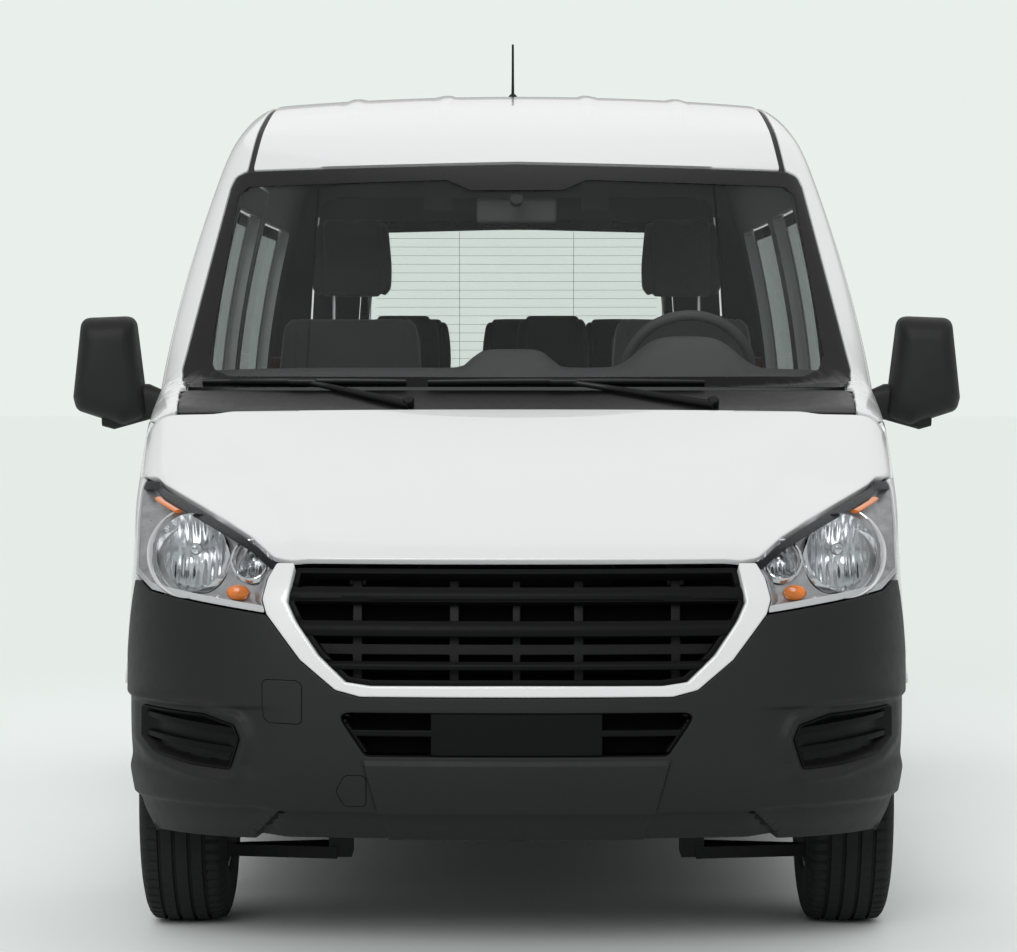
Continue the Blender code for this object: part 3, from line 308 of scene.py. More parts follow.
def refine(p, tris, near):
    """Split each edge with both ends near a border, then rebuild the triangles about it."""
    key = np.sort(np.stack([tris[:, [0, 1]], tris[:, [1, 2]], tris[:, [2, 0]]], 1), 2)
    flag = near[key].all(2)
    if not flag.any():
        return p, tris
    pairs, inverse = np.unique(key[flag], axis=0, return_inverse=True)
    mid = np.full(flag.shape, -1)
    mid[flag] = len(p) + inverse.reshape(-1)
    p = np.concatenate([p, p[pairs].mean(1)])
    n = flag.sum(1)
    t, m = tris[n == 3], mid[n == 3]
    out = [tris[n == 0], m, np.stack([t[:, 0], m[:, 0], m[:, 2]], 1),
           np.stack([t[:, 1], m[:, 1], m[:, 0]], 1), np.stack([t[:, 2], m[:, 2], m[:, 1]], 1)]
    for k in range(3):
        t, m, f = np.roll(tris, -k, 1), np.roll(mid, -k, 1), np.roll(flag, -k, 1)
        one = (n == 1) & f[:, 0]
        a, b, c, ab = t[one, 0], t[one, 1], t[one, 2], m[one, 0]
        out += [np.stack([a, ab, c], 1), np.stack([ab, b, c], 1)]
        two = (n == 2) & f[:, 0] & f[:, 1]
        a, b, c, ab, bc = t[two, 0], t[two, 1], t[two, 2], m[two, 0], m[two, 1]
        out += [np.stack([a, ab, c], 1), np.stack([ab, bc, c], 1), np.stack([ab, b, bc], 1)]
    return p, np.concatenate(out)


def clip(p, tris, d):
    """The part of the triangles where d is negative; edges are cut where d is zero on them."""
    s = np.sign(d)
    pairs = []

    def cut(i, j):
        start = sum(len(q) for q in pairs)
        pairs.append(np.stack([i, j], 1))
        return len(p) + start + np.arange(len(i))

    out = [tris[(s[tris] <= 0).all(1) & (s[tris] < 0).any(1)]]
    for k in range(3):
        t = np.roll(tris, -k, 1)
        a, b, c = s[t[:, 0]], s[t[:, 1]], s[t[:, 2]]
        q = t[(a < 0) & (b > 0) & (c > 0)]
        out.append(np.stack([q[:, 0], cut(q[:, 0], q[:, 1]), cut(q[:, 0], q[:, 2])], 1))
        q = t[(a < 0) & (b < 0) & (c > 0)]
        bc, ac = cut(q[:, 1], q[:, 2]), cut(q[:, 0], q[:, 2])
        out += [np.stack([q[:, 0], q[:, 1], bc], 1), np.stack([q[:, 0], bc, ac], 1)]
        q = t[(a < 0) & (b == 0) & (c > 0)]
        out.append(np.stack([q[:, 0], q[:, 1], cut(q[:, 0], q[:, 2])], 1))
        q = t[(a < 0) & (b > 0) & (c == 0)]
        out.append(np.stack([q[:, 0], cut(q[:, 0], q[:, 1]), q[:, 2]], 1))
    made = np.sort(np.concatenate(pairs), 1)
    uniq, inverse = np.unique(made, axis=0, return_inverse=True)
    t = d[uniq[:, 0]] / (d[uniq[:, 0]] - d[uniq[:, 1]])
    new = p[uniq[:, 0]] * (1 - t)[:, None] + p[uniq[:, 1]] * t[:, None]
    tris = np.concatenate(out)
    old = tris < len(p)
    number = np.append(inverse.reshape(-1), 0)
    tris = np.where(old, tris, len(p) + number[np.where(old, 0, tris - len(p))])
    p = np.concatenate([p, new])
    good = (tris[:, 0] != tris[:, 1]) & (tris[:, 1] != tris[:, 2]) & (tris[:, 2] != tris[:, 0])
    return compact(p, tris[good])


def outline(points, a, b):
    """Signed distance to a closed outline: the least over its edges, negative inside."""
    pts = np.asarray(points, float)
    best = np.full(a.shape, 1e9)
    inside = np.zeros(a.shape, bool)
    for (x0, y0), (x1, y1) in zip(pts, np.roll(pts, -1, 0)):
        ex, ey = x1 - x0, y1 - y0
        t = np.clip(((a - x0) * ex + (b - y0) * ey) / (ex * ex + ey * ey + 1e-12), 0, 1)
        best = np.minimum(best, (a - x0 - t * ex) ** 2 + (b - y0 - t * ey) ** 2)
        if y0 != y1:
            inside ^= ((y0 > b) != (y1 > b)) & (a < (x1 - x0) * (b - y0) / (y1 - y0) + x0)
    return np.where(inside, -1.0, 1.0) * np.sqrt(best)


def rounded(points, radius, steps=5):
    """An outline with its corners rounded by quadratic curves."""
    pts = [np.array(q, float) for q in points]
    out = []
    for i, q in enumerate(pts):
        a, b = pts[i - 1] - q, pts[(i + 1) % len(pts)] - q
        la, lb = np.linalg.norm(a), np.linalg.norm(b)
        half = math.acos(max(-1.0, min(1.0, float(a @ b) / (la * lb)))) / 2
        if half > 1.5:
            out.append(tuple(q))
            continue
        reach = min(radius / math.tan(half), 0.45 * la, 0.45 * lb)
        p0, p1 = q + a / la * reach, q + b / lb * reach
        for t in np.linspace(0, 1, steps + 1):
            out.append(tuple((1 - t) ** 2 * p0 + 2 * t * (1 - t) * q + t ** 2 * p1))
    return out


# Outlines of the panels: (x, z) seen from the front, (u, z) seen from the side

BONNET_FRONT = [(-0.2, 1.007), (0.560, 1.007), (0.604, 1.014), (0.667, 1.061), (0.737, 1.098),
                (0.825, 1.139), (0.920, 1.182), (0.945, 1.200), (1.100, 1.200), (1.100, 1.600),
                (-0.2, 1.600)]
BONNET_SIDE = [(-0.10, 0.90), (0.20, 0.98), (0.52, 1.10), (0.64, 1.165), (0.80, 1.225),
               (0.955, 1.290), (0.955, 1.600), (-0.10, 1.600)]
SURROUND_OUT = [(-0.2, 0.676), (0.385, 0.676), (0.447, 0.692), (0.535, 0.765), (0.620, 0.876),
                (0.631, 0.912), (0.618, 0.963), (0.597, 1.000), (-0.2, 1.000)]
SURROUND_IN = [(-0.2, 0.705), (0.361, 0.703), (0.422, 0.712), (0.490, 0.777), (0.548, 0.862),
               (0.568, 0.906), (0.560, 0.950), (0.538, 1.060), (-0.2, 1.060)]
LAMP_TOP = [(0.550, 0.998), (0.604, 1.005), (0.667, 1.053), (0.737, 1.090), (0.825, 1.131),
            (0.920, 1.174), (0.945, 1.192), (1.100, 1.192)]
LAMP_FRONT = LAMP_TOP + [(1.100, 0.960), (0.977, 0.952), (0.932, 0.921),
              (0.791, 0.900), (0.600, 0.873), (0.550, 0.870)]
LAMP_SIDE = [(-0.10, 0.800), (0.250, 0.800), (0.400, 0.900), (0.455, 0.950), (0.500, 1.045),
             (0.600, 1.120), (0.670, 1.176), (0.690, 1.200), (0.690, 1.300), (-0.10, 1.300)]
BUMPER_SIDE = [(-0.10, 0.280), (0.560, 0.280), (0.560, 0.640), (0.500, 0.800), (0.450, 0.940),
               (-0.10, 0.940)]
INTAKE = rounded([(-0.2, 0.637), (0.447, 0.637), (0.373, 0.528), (-0.2, 0.528)], 0.02)
FOG = rounded([(0.960, 0.632), (0.785, 0.625), (0.705, 0.600), (0.690, 0.564), (0.715, 0.486),
               (0.816, 0.495), (0.923, 0.515), (0.962, 0.550)], 0.012)
SCREEN = rounded([(-0.2, 1.430), (0.905, 1.430), (0.931, 1.450), (0.938, 1.480), (0.929, 1.530),
                  (0.848, 2.020), (0.835, 2.052), (0.800, 2.069), (0.0, 2.086), (-0.2, 2.086)], 0.02)
SCREEN_CLEAR = rounded([(-0.2, 1.459), (0.800, 1.462), (0.845, 1.482), (0.862, 1.520),
                        (0.822, 1.990), (0.795, 2.018), (0.205, 2.034), (0.135, 2.002),
                        (-0.2, 2.002)], 0.012)
COWL = [(-0.2, 1.200), (0.905, 1.200), (0.922, 1.383), (0.930, 1.4295), (-0.2, 1.4295)]
DOOR = rounded([(1.360, 0.400), (2.375, 0.400), (2.375, 1.300), (2.367, 2.030), (2.310, 2.095),
                (2.170, 2.095), (2.080, 2.050), (1.430, 1.500), (1.230, 1.340), (1.175, 1.270),
                (1.175, 0.990), (1.240, 0.880), (1.325, 0.700), (1.360, 0.550)], 0.03)
DOOR_WINDOW = rounded([(1.520, 1.370), (2.305, 1.370), (2.300, 2.005), (2.125, 2.005),
                       (2.090, 1.982), (1.520, 1.497)], 0.03)
SLIDER = rounded([(SLIDER_FRONT, 0.400), (SLIDER_REAR, 0.400), (SLIDER_REAR, 2.085),
                  (SLIDER_FRONT, 2.085)], 0.05)
MIDDLE_WINDOW = rounded([(SLIDER_FRONT + 0.09, 1.370), (SLIDER_REAR - 0.09, 1.370),
                         (SLIDER_REAR - 0.09, 1.995), (SLIDER_FRONT + 0.09, 1.995)], 0.06)
REAR_SIDE_WINDOW = rounded([(SLIDER_REAR + 0.12, 1.370), (4.870, 1.370), (4.850, 1.995),
                            (SLIDER_REAR + 0.12, 1.995)], 0.06)
GATE = rounded([(-0.2, 0.614), (0.800, 0.614), (0.800, 1.450), (0.760, 2.100), (0.700, 2.165),
                (-0.2, 2.165)], 0.02)
REAR_WINDOW = rounded([(-0.2, 1.400), (0.630, 1.400), (0.580, 2.040), (0.0, 2.055), (-0.2, 2.055)],
                      0.05)
TAIL_LAMP = [(0.835, 0.920), (1.200, 0.920), (1.200, 1.520), (0.822, 1.520)]
REAR_BUMPER_SIDE = [(4.600, 0.280), (5.400, 0.280), (5.400, 0.607), (4.600, 0.607)]


def bonnet_region(x, u, z):
    return np.maximum(outline(BONNET_FRONT, x, z), outline(BONNET_SIDE, u, z))


def surround_region(x, u, z):
    return np.maximum(outline(SURROUND_OUT, x, z), u - 0.6)


def lamp_region(x, u, z):
    d = np.maximum(outline(LAMP_FRONT, x, z), outline(LAMP_SIDE, u, z))
    return np.maximum(d, -surround_region(x, u, z) + 0.001)


def arch_region(x, u, z, axle, radius=ARCH_RADIUS):
    return np.maximum(np.hypot(u - axle, z - TYRE_RADIUS) - radius, 0.3 - x)


def screen_region(x, u, z):
    return np.maximum(outline(SCREEN, x, z), u - 2.2)


def cowl_region(x, u, z):
    return np.maximum(outline(COWL, x, z), np.maximum(0.9625 - u, u - 1.35))


def gate_region(x, u, z):
    return np.maximum(outline(GATE, x, z), 4.9 - u)


def tail_lamp_region(x, u, z):
    return np.maximum(outline(TAIL_LAMP, x, z), 5.02 - u)


def ditch_x(u):
    """The roof ditch bends in from the screen's corner to a straight line."""
    return 0.755 + 0.052 * np.exp(-np.maximum(u - 1.87, -0.2) / 0.30)


def door_region(x, u, z):
    return np.maximum(outline(DOOR, u, z), 0.75 - x)


def slider_region(x, u, z):
    return np.maximum(outline(SLIDER, u, z), 0.75 - x)


def rear_bumper_region(x, u, z):
    return outline(REAR_BUMPER_SIDE, u, z)


# Mesh making

STATE = {}


def skin(extra=0.0):
    if extra not in STATE:
        STATE[extra] = half_skin(extra)
    return STATE[extra]


def unit(v):
    return v / np.maximum(np.linalg.norm(v, axis=-1, keepdims=True), 1e-12)


def normals_of(p, tris):
    """Normals of the points: the sum of the triangles' cross products about each, made unit."""
    c = np.cross(p[tris[:, 1]] - p[tris[:, 0]], p[tris[:, 2]] - p[tris[:, 0]])
    normal = np.zeros_like(p)
    for k in range(3):
        np.add.at(normal, tris[:, k], c)
    return unit(normal)


def to_object(name, p, faces, materials, smooth=35.0, index=None):
    """A mesh object from points (x, u, z) and a list of face arrays, put in one go."""
    mesh = bpy.data.meshes.new(name)
    p = np.array(p, float)
    p[:, 1] += Y0
    faces = [f for f in faces if len(f)]
    loops = np.concatenate([f.reshape(-1) for f in faces]).astype(np.int32)
    sizes = np.concatenate([np.full(len(f), f.shape[1]) for f in faces]).astype(np.int32)
    starts = np.concatenate([[0], np.cumsum(sizes)[:-1]]).astype(np.int32)
    mesh.vertices.add(len(p))
    mesh.vertices.foreach_set("co", p.astype(np.float32).ravel())
    mesh.loops.add(len(loops))
    mesh.loops.foreach_set("vertex_index", loops)
    mesh.polygons.add(len(sizes))
    mesh.polygons.foreach_set("loop_start", starts)
    if index is not None:
        mesh.polygons.foreach_set("material_index", np.concatenate(index).astype(np.int32))
    mesh.update(calc_edges=True)
    mesh.validate()
    mesh.polygons.foreach_set("use_smooth", np.ones(len(mesh.polygons), bool))
    mesh.set_sharp_from_angle(angle=math.radians(smooth))
    for m in materials if isinstance(materials, (list, tuple)) else [materials]:
        mesh.materials.append(m)
    obj = bpy.data.objects.new(name, mesh)
    bpy.context.scene.collection.objects.link(obj)
    return obj


def shell(p, n, tris, radius, thickness, steps=3):
    """Give a surface a rounded rim and a back: (points, faces, which faces are the back).

    Round each border point a quarter circle of the radius turns from the surface to its side, the
    side goes down by the thickness, and the back repeats the surface that far in.
    """
    count = len(p)
    e = np.concatenate([tris[:, [0, 1]], tris[:, [1, 2]], tris[:, [2, 0]]]).astype(np.int64)
    border = e[~np.isin(e[:, 0] * count + e[:, 1], e[:, 1] * count + e[:, 0])]
    border = border[~(np.abs(p[border, 0]) < 1e-7).all(1)]
    out = unit(np.cross(p[border[:, 1]] - p[border[:, 0]], n[border].mean(1)))
    total = np.zeros_like(p)
    times = np.zeros(count)
    for k in range(2):
        np.add.at(total, border[:, k], out)
        np.add.at(times, border[:, k], 1)
    size = (total ** 2).sum(1)
    mitre = np.where((times > 1)[:, None], 2 * total / np.maximum(size, 0.6)[:, None], total)
    mitre[np.abs(p[:, 0]) < 1e-7, 0] = 0
    rim = np.unique(border)
    place = np.full(count, -1)
    place[rim] = np.arange(len(rim))
    q, m, r = p[rim], mitre[rim], n[rim]
    rings = []
    for a in np.linspace(0, math.pi / 2, steps + 1)[1:]:
        rings.append(q + m * radius * math.sin(a) - r * radius * (1 - math.cos(a)))
    rings.append(q + m * radius - r * max(thickness, radius * 1.05))
    points = [p] + rings + [p - n * max(thickness, radius * 1.05)]
    quads = []
    base = border
    for k in range(len(rings)):
        nxt = count + k * len(rim) + place[border]
        quads.append(np.stack([base[:, 1], base[:, 0], nxt[:, 0], nxt[:, 1]], 1))
        base = nxt
    back = count + len(rings) * len(rim)
    last = back + border
    quads.append(np.stack([base[:, 1], base[:, 0], last[:, 0], last[:, 1]], 1))
    quads = np.concatenate(quads)
    inner = tris[:, ::-1] + back
    index = [np.zeros(len(tris)), np.zeros(len(quads)), np.ones(len(inner))]
    return np.concatenate(points), [tris, quads, inner], index


def surface(region, radius=0.0, levels=1, extra=0.0, band=0.025, pressed=None):
    """The part of the half skin where region is below minus the radius, finer along its border and
    along pressed lines. pressed holds the distance to these lines and each step's reach from them."""
    p, tris = skin(extra)
    d = region(p[:, 0], p[:, 1], p[:, 2]) + radius
    p, tris = compact(p, tris[d[tris].min(1) < band])
    distance, reaches = pressed or (None, ())
    for k in range(max(levels, len(reaches))):
        d = np.abs(region(p[:, 0], p[:, 1], p[:, 2]) + radius) - (band / 2 ** k if k < levels else -1)
        if k < len(reaches):
            d = np.minimum(d, np.abs(distance(p[:, 0], p[:, 1], p[:, 2])) - reaches[k])
        old = len(p)
        p, tris = refine(p, tris, d < 0)
        p[old:] = settle(p[old:], extra)
    d = region(p[:, 0], p[:, 1], p[:, 2]) + radius
    e = 0.0004
    g = np.stack([region(*(p + np.eye(3)[k] * e).T) - region(*(p - np.eye(3)[k] * e).T)
                  for k in range(3)], 1) / (2 * e)
    n = unit(slope_of(p, extra))
    g -= n * (g * n).sum(1)[:, None]
    size = (g ** 2).sum(1)
    pitch = band / 2 ** levels * 0.12
    close = (np.abs(d) < pitch) & (size > 0.2)
    move = -g * (d / np.maximum(size, 0.2))[:, None]
    middle = np.abs(p[:, 0]) < 1e-7
    move[middle, 0] = 0
    p = np.where(close[:, None], p + move, p)
    d = np.where(close, 0.0, d)
    return clip(p, tris, d)


def mirrored(p, faces, index):
    """Both halves: the copy has x turned and its faces reversed, and shares the middle points."""
    middle = np.abs(p[:, 0]) < 1e-7
    number = np.cumsum(~middle) - 1 + len(p)
    number = np.where(middle, np.arange(len(p)), number)
    other = p[~middle] * np.array([-1, 1, 1])
    return (np.concatenate([p, other]), faces + [number[f][:, ::-1] for f in faces], index + index)


def flipped(p, faces):
    """The same shape on the other side of the middle plane."""
    return p * np.array([-1, 1, 1]), [f[:, ::-1] for f in faces]


def panel(name, region, body, materials, side=0, radius=0.003, thickness=0.02, depth=0.0,
          shape=None, levels=1, extra=0.0, replaces=(), band=0.025, pressed=None):
    """A body panel: skin surface, moved out by shape and in by depth, with a rounded rim and back."""
    p, tris = surface(region, radius, levels, extra, band, pressed)
    n = unit(slope_of(p, extra))
    n[np.abs(p[:, 0]) < 1e-7, 0] = 0
    n = unit(n)
    p = p - n * depth
    if shape is not None:
        p = p + n * shape(p[:, 0], p[:, 1], p[:, 2])[:, None]
    q, faces, index = shell(p, n, tris, radius, thickness)
    if side == 0:
        q, faces, index = mirrored(q, faces, index)
    elif side < 0:
        q, faces = flipped(q, faces)
    obj = to_object(name, q, faces, materials, index=index)
    return place(obj, body, replaces)


def place(obj, body, replaces=()):
    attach(obj, body)
    if replaces:
        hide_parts(*replaces)
    return obj


def tube(path, radius, around=12, closed=False, squash=(1.0, 1.0)):
    """A round section carried along a path: rings in the plane across each point's direction."""
    path = np.asarray(path, float)
    radius = np.broadcast_to(np.asarray(radius, float), len(path))
    if closed:
        t = unit(np.roll(path, -1, 0) - np.roll(path, 1, 0))
    else:
        t = unit(np.gradient(path, axis=0))
    ref = np.array([0.0, 0.0, 1.0]) if abs(t[:, 2]).mean() < 0.8 else np.array([1.0, 0.0, 0.0])
    a = unit(np.cross(t, ref))
    b = np.cross(a, t)
    turn = np.linspace(0, 2 * math.pi, around, endpoint=False)
    wide, high = np.cos(turn)[None, :, None], np.sin(turn)[None, :, None]
    ring = a[:, None] * wide * squash[0] + b[:, None] * high * squash[1]
    p = (path[:, None] + ring * radius[:, None, None]).reshape(-1, 3)
    index = np.arange(len(p)).reshape(len(path), around)
    index = np.concatenate([index, index[:, :1]], 1)
    if closed:
        index = np.concatenate([index, index[:1]], 0)
    faces = [grid_quads(index)[:, ::-1]]
    if not closed:
        faces += [np.arange(around)[None, :], (len(p) - around + np.arange(around))[None, ::-1]]
    return p, faces


def loft(sections):
    """Faces over rings of points that all have the same count, capped at both ends."""
    s = np.asarray(sections, float)
    rows, n = s.shape[:2]
    index = np.arange(rows * n).reshape(rows, n)
    index = np.concatenate([index, index[:, :1]], 1)
    ends = [np.arange(n)[None, ::-1], ((rows - 1) * n + np.arange(n))[None, :]]
    return s.reshape(-1, 3), [grid_quads(index)] + ends


def turned(profile, centre, axis, around=64):
    """A profile of (distance along, radius) carried round an axis."""
    d = unit(np.asarray(axis, float))
    ref = np.array([0.0, 0.0, 1.0]) if abs(d[2]) < 0.9 else np.array([1.0, 0.0, 0.0])
    a = unit(np.cross(d, ref))
    b = np.cross(d, a)
    prof = np.asarray(profile, float)
    turn = np.linspace(0, 2 * math.pi, around, endpoint=False)
    spoke = a[None] * np.cos(turn)[:, None] + b[None] * np.sin(turn)[:, None]
    p = np.asarray(centre, float) + d * prof[:, None, :1] + spoke[None] * prof[:, None, 1:]
    index = np.arange(len(prof) * around).reshape(len(prof), around)
    index = np.concatenate([index, index[:, :1]], 1)
    p, tris = merge(p.reshape(-1, 3), split(grid_quads(index)))
    return p, [tris]


def split(q):
    return np.concatenate([q[:, [0, 1, 2]], q[:, [0, 2, 3]]])


def rounded_box(low, high, radius, steps=4):
    """A box whose edges are rounded: a cube grid pushed out from a smaller core by the radius."""
    low, high = np.asarray(low, float), np.asarray(high, float)
    core = np.maximum((high - low) / 2 - radius, 1e-4)
    m = (low + high) / 2
    soft = np.concatenate([-1 - np.cos(np.linspace(0, math.pi / 2, steps + 1))[:-1],
                           (-1, 1), 1 + np.cos(np.linspace(math.pi / 2, 0, steps + 1))[1:]])
    u, v = np.meshgrid(soft, soft, indexing="ij")
    parts, faces, base = [], [], 0
    for axis in range(3):
        for sign in (-1, 1):
            c = np.empty(u.shape + (3,))
            c[..., axis] = sign * 2.0
            c[..., (axis + 1) % 3] = u
            c[..., (axis + 2) % 3] = v
            flat = np.clip(c, -1, 1)
            over = c - flat
            out = unit(over + 1e-9)
            q = m + flat * core + out * radius
            index = base + np.arange(u.size).reshape(u.shape)
            f = grid_quads(index)
            faces.append(f if sign > 0 else f[:, ::-1])
            parts.append(q.reshape(-1, 3))
            base += u.size
    p, tris = merge(np.concatenate(parts), split(np.concatenate(faces)))
    return p, [tris]


def turn_points(p, centre, axis, degrees):
    """Points turned about a line through centre, in (x, u, z)."""
    r = np.array(Matrix.Rotation(math.radians(degrees), 3, Vector(axis)))
    return (np.asarray(p) - centre) @ r.T + centre


def gather(parts):
    """Several (points, faces) made one."""
    points, faces, base = [], [], 0
    for p, f in parts:
        points.append(p)
        faces += [np.asarray(g) + base for g in f]
        base += len(p)
    return np.concatenate(points), faces


def solid(name, parts, body, materials, replaces=(), smooth=35.0, side=1):
    """One object from several closed shapes."""
    p, faces = gather(parts)
    if side < 0:
        p, faces = flipped(p, faces)
    return place(to_object(name, p, faces, materials, smooth), body, replaces)


# Materials

def nodes_of(name):
    mat = bpy.data.materials.new("finish_" + name)
    mat.use_nodes = True
    tree = mat.node_tree
    return mat, tree.nodes, tree.links, tree.nodes["Principled BSDF"]


def fill(node, values):
    """Sets sockets of a node, given by name or number."""
    for key, value in values.items():
        node.inputs[key].default_value = value


def add(nodes, kind, values=None, **settings):
    """A new shader node with its settings and socket values."""
    node = nodes.new("ShaderNode" + kind)
    for key, value in settings.items():
        setattr(node, key, value)
    fill(node, values or {})
    return node


def noise_of(nodes, links, where, scale, detail=2.0):
    """Noise of one scale on Object coordinates."""
    node = add(nodes, "TexNoise", {"Scale": scale, "Detail": detail})
    links.new(where.outputs["Object"], node.inputs["Vector"])
    return node.outputs["Fac"]


def bump_of(nodes, links, shader, height, strength, distance):
    """A bump that the shader's normal follows."""
    node = add(nodes, "Bump", {"Strength": strength, "Distance": distance})
    links.new(height, node.inputs["Height"])
    links.new(node.outputs["Normal"], shader.inputs["Normal"])


def finish(name, colour, rough, metal=0.0, coat=0.0, coat_rough=0.05, grain=(0, 0.0, 0.0),
           vary=(3.0, 0.06), sheen=0.0, specular=0.5, rough_vary=0.08):
    """A procedural finish: colour drifts with low noise, roughness with middle noise, bump with fine.

    grain is (scale, strength, distance) of the bump, vary is (scale, share) of the colour's drift.
    """
    mat, nodes, links, shader = nodes_of(name)
    fill(shader, {"Metallic": metal, "Coat Weight": coat, "Coat Roughness": coat_rough,
                  "Sheen Weight": sheen, "Specular IOR Level": specular})
    where = add(nodes, "TexCoord")
    scale, share = vary
    dark = [c * (1 - share) for c in colour]
    light = [min(c * (1 + share), 1.0) for c in colour]
    tone = add(nodes, "Mix", data_type="RGBA")
    fill(tone, {6: (*dark, 1), 7: (*light, 1)})
    links.new(noise_of(nodes, links, where, scale, 3.0), tone.inputs[0])
    links.new(tone.outputs[2], shader.inputs["Base Color"])
    span = add(nodes, "MapRange", {"To Min": max(rough - rough_vary, 0.02),
                                   "To Max": min(rough + rough_vary, 1.0)})
    links.new(noise_of(nodes, links, where, scale * 9), span.inputs["Value"])
    links.new(span.outputs["Result"], shader.inputs["Roughness"])
    if grain[0]:
        bump_of(nodes, links, shader, noise_of(nodes, links, where, grain[0]), *grain[1:])
    return mat


def clear(name, tint, gloss=0.04, dust_and_veil=0.0, edge=0.9, painted_veil=0.02):
    """Clear sheet: see-through tint mixed with gloss that grows at grazing angles. The gloss layer's grey
    base colour is a painted reflection veil over what is seen through the sheet, and noise varies its
    share, partly as dust and partly as painted veil.
    """
    mat, nodes, links, shader = nodes_of(name)
    fill(shader, {"Base Color": (painted_veil, painted_veil, painted_veil * 1.03, 1), "Roughness": 0.02,
                  "Specular IOR Level": 1.0, "Metallic": 0.0})
    see = add(nodes, "BsdfTransparent", {"Color": (*tint, 1)})
    facing = add(nodes, "LayerWeight", {"Blend": 0.25})
    low = add(nodes, "MapRange", {"To Min": gloss, "To Max": gloss + dust_and_veil})
    links.new(noise_of(nodes, links, add(nodes, "TexCoord"), 6.0, 4.0), low.inputs["Value"])
    power = add(nodes, "Math", {1: 3.0}, operation="POWER")
    links.new(facing.outputs["Facing"], power.inputs[0])
    total = add(nodes, "Math", {1: edge}, operation="MULTIPLY_ADD")
    links.new(power.outputs[0], total.inputs[0])
    links.new(low.outputs["Result"], total.inputs[2])
    mix = add(nodes, "MixShader")
    for socket, output in enumerate((total.outputs[0], see.outputs[0], shader.outputs[0])):
        links.new(output, mix.inputs[socket])
    links.new(mix.outputs[0], nodes["Material Output"].inputs["Surface"])
    return mat


def cloth(name, colour, thread=0.0011):
    """Woven seat cloth: two crossed waves of threads, fibre noise over them and a soft sheen."""
    mat, nodes, links, shader = nodes_of(name)
    fill(shader, {"Roughness": 0.92, "Sheen Weight": 0.25, "Specular IOR Level": 0.2})
    where = add(nodes, "TexCoord")
    top = add(nodes, "Math", operation="MAXIMUM")
    for socket, axis in enumerate("XZ"):
        wave = add(nodes, "TexWave", {"Scale": 0.05 / thread, "Distortion": 0.6}, bands_direction=axis)
        links.new(where.outputs["Object"], wave.inputs["Vector"])
        links.new(wave.outputs["Fac"], top.inputs[socket])
    share = add(nodes, "Math", operation="MULTIPLY")
    links.new(top.outputs[0], share.inputs[0])
    links.new(noise_of(nodes, links, where, 260.0), share.inputs[1])
    tone = add(nodes, "Mix", data_type="RGBA")
    fill(tone, {6: (*[c * 0.72 for c in colour], 1), 7: (*[c * 1.25 for c in colour], 1)})
    links.new(share.outputs[0], tone.inputs[0])
    links.new(tone.outputs[2], shader.inputs["Base Color"])
    bump_of(nodes, links, shader, top.outputs[0], 0.35, 0.0006)
    return mat


class MinibusSizes(bpy.types.PropertyGroup):
    """Sizes a user may change."""
    rib_height: FloatProperty(name="Roof rib", description="Height of the pressed roof ribs",
                              default=0.006, min=0.0, max=0.02, unit="LENGTH")
    rim_radius: FloatProperty(name="Panel edge", description="Radius of the folded panel edges",
                              default=0.003, min=0.001, max=0.006, unit="LENGTH")
    tread_depth: FloatProperty(name="Tread depth", description="Depth of the tyre's grooves",
                               default=0.008, min=0.002, max=0.012, unit="LENGTH")
    tread_blocks: IntProperty(name="Tread sipes", description="Sipes round one tyre",
                              default=68, min=24, max=120)


class MinibusFinish(bpy.types.PropertyGroup):
    """Colours a user may change."""
    paint: FloatVectorProperty(name="Paint", description="Body paint", subtype="COLOR",
                               default=(0.79, 0.795, 0.80), min=0, max=1)
    plastic: FloatVectorProperty(name="Plastic", description="Unpainted bumper plastic",
                                 subtype="COLOR", default=(0.0160, 0.0160, 0.0163), min=0, max=1)
    seat: FloatVectorProperty(name="Seat cloth", description="Cloth of the seats", subtype="COLOR",
                              default=(0.040, 0.040, 0.041), min=0, max=1)
    floor: FloatVectorProperty(name="Backdrop", description="Pale floor and backdrop",
                               subtype="COLOR", default=(0.815, 0.871, 0.840), min=0, max=1)


def M(name):
    return bpy.data.materials["finish_" + name]


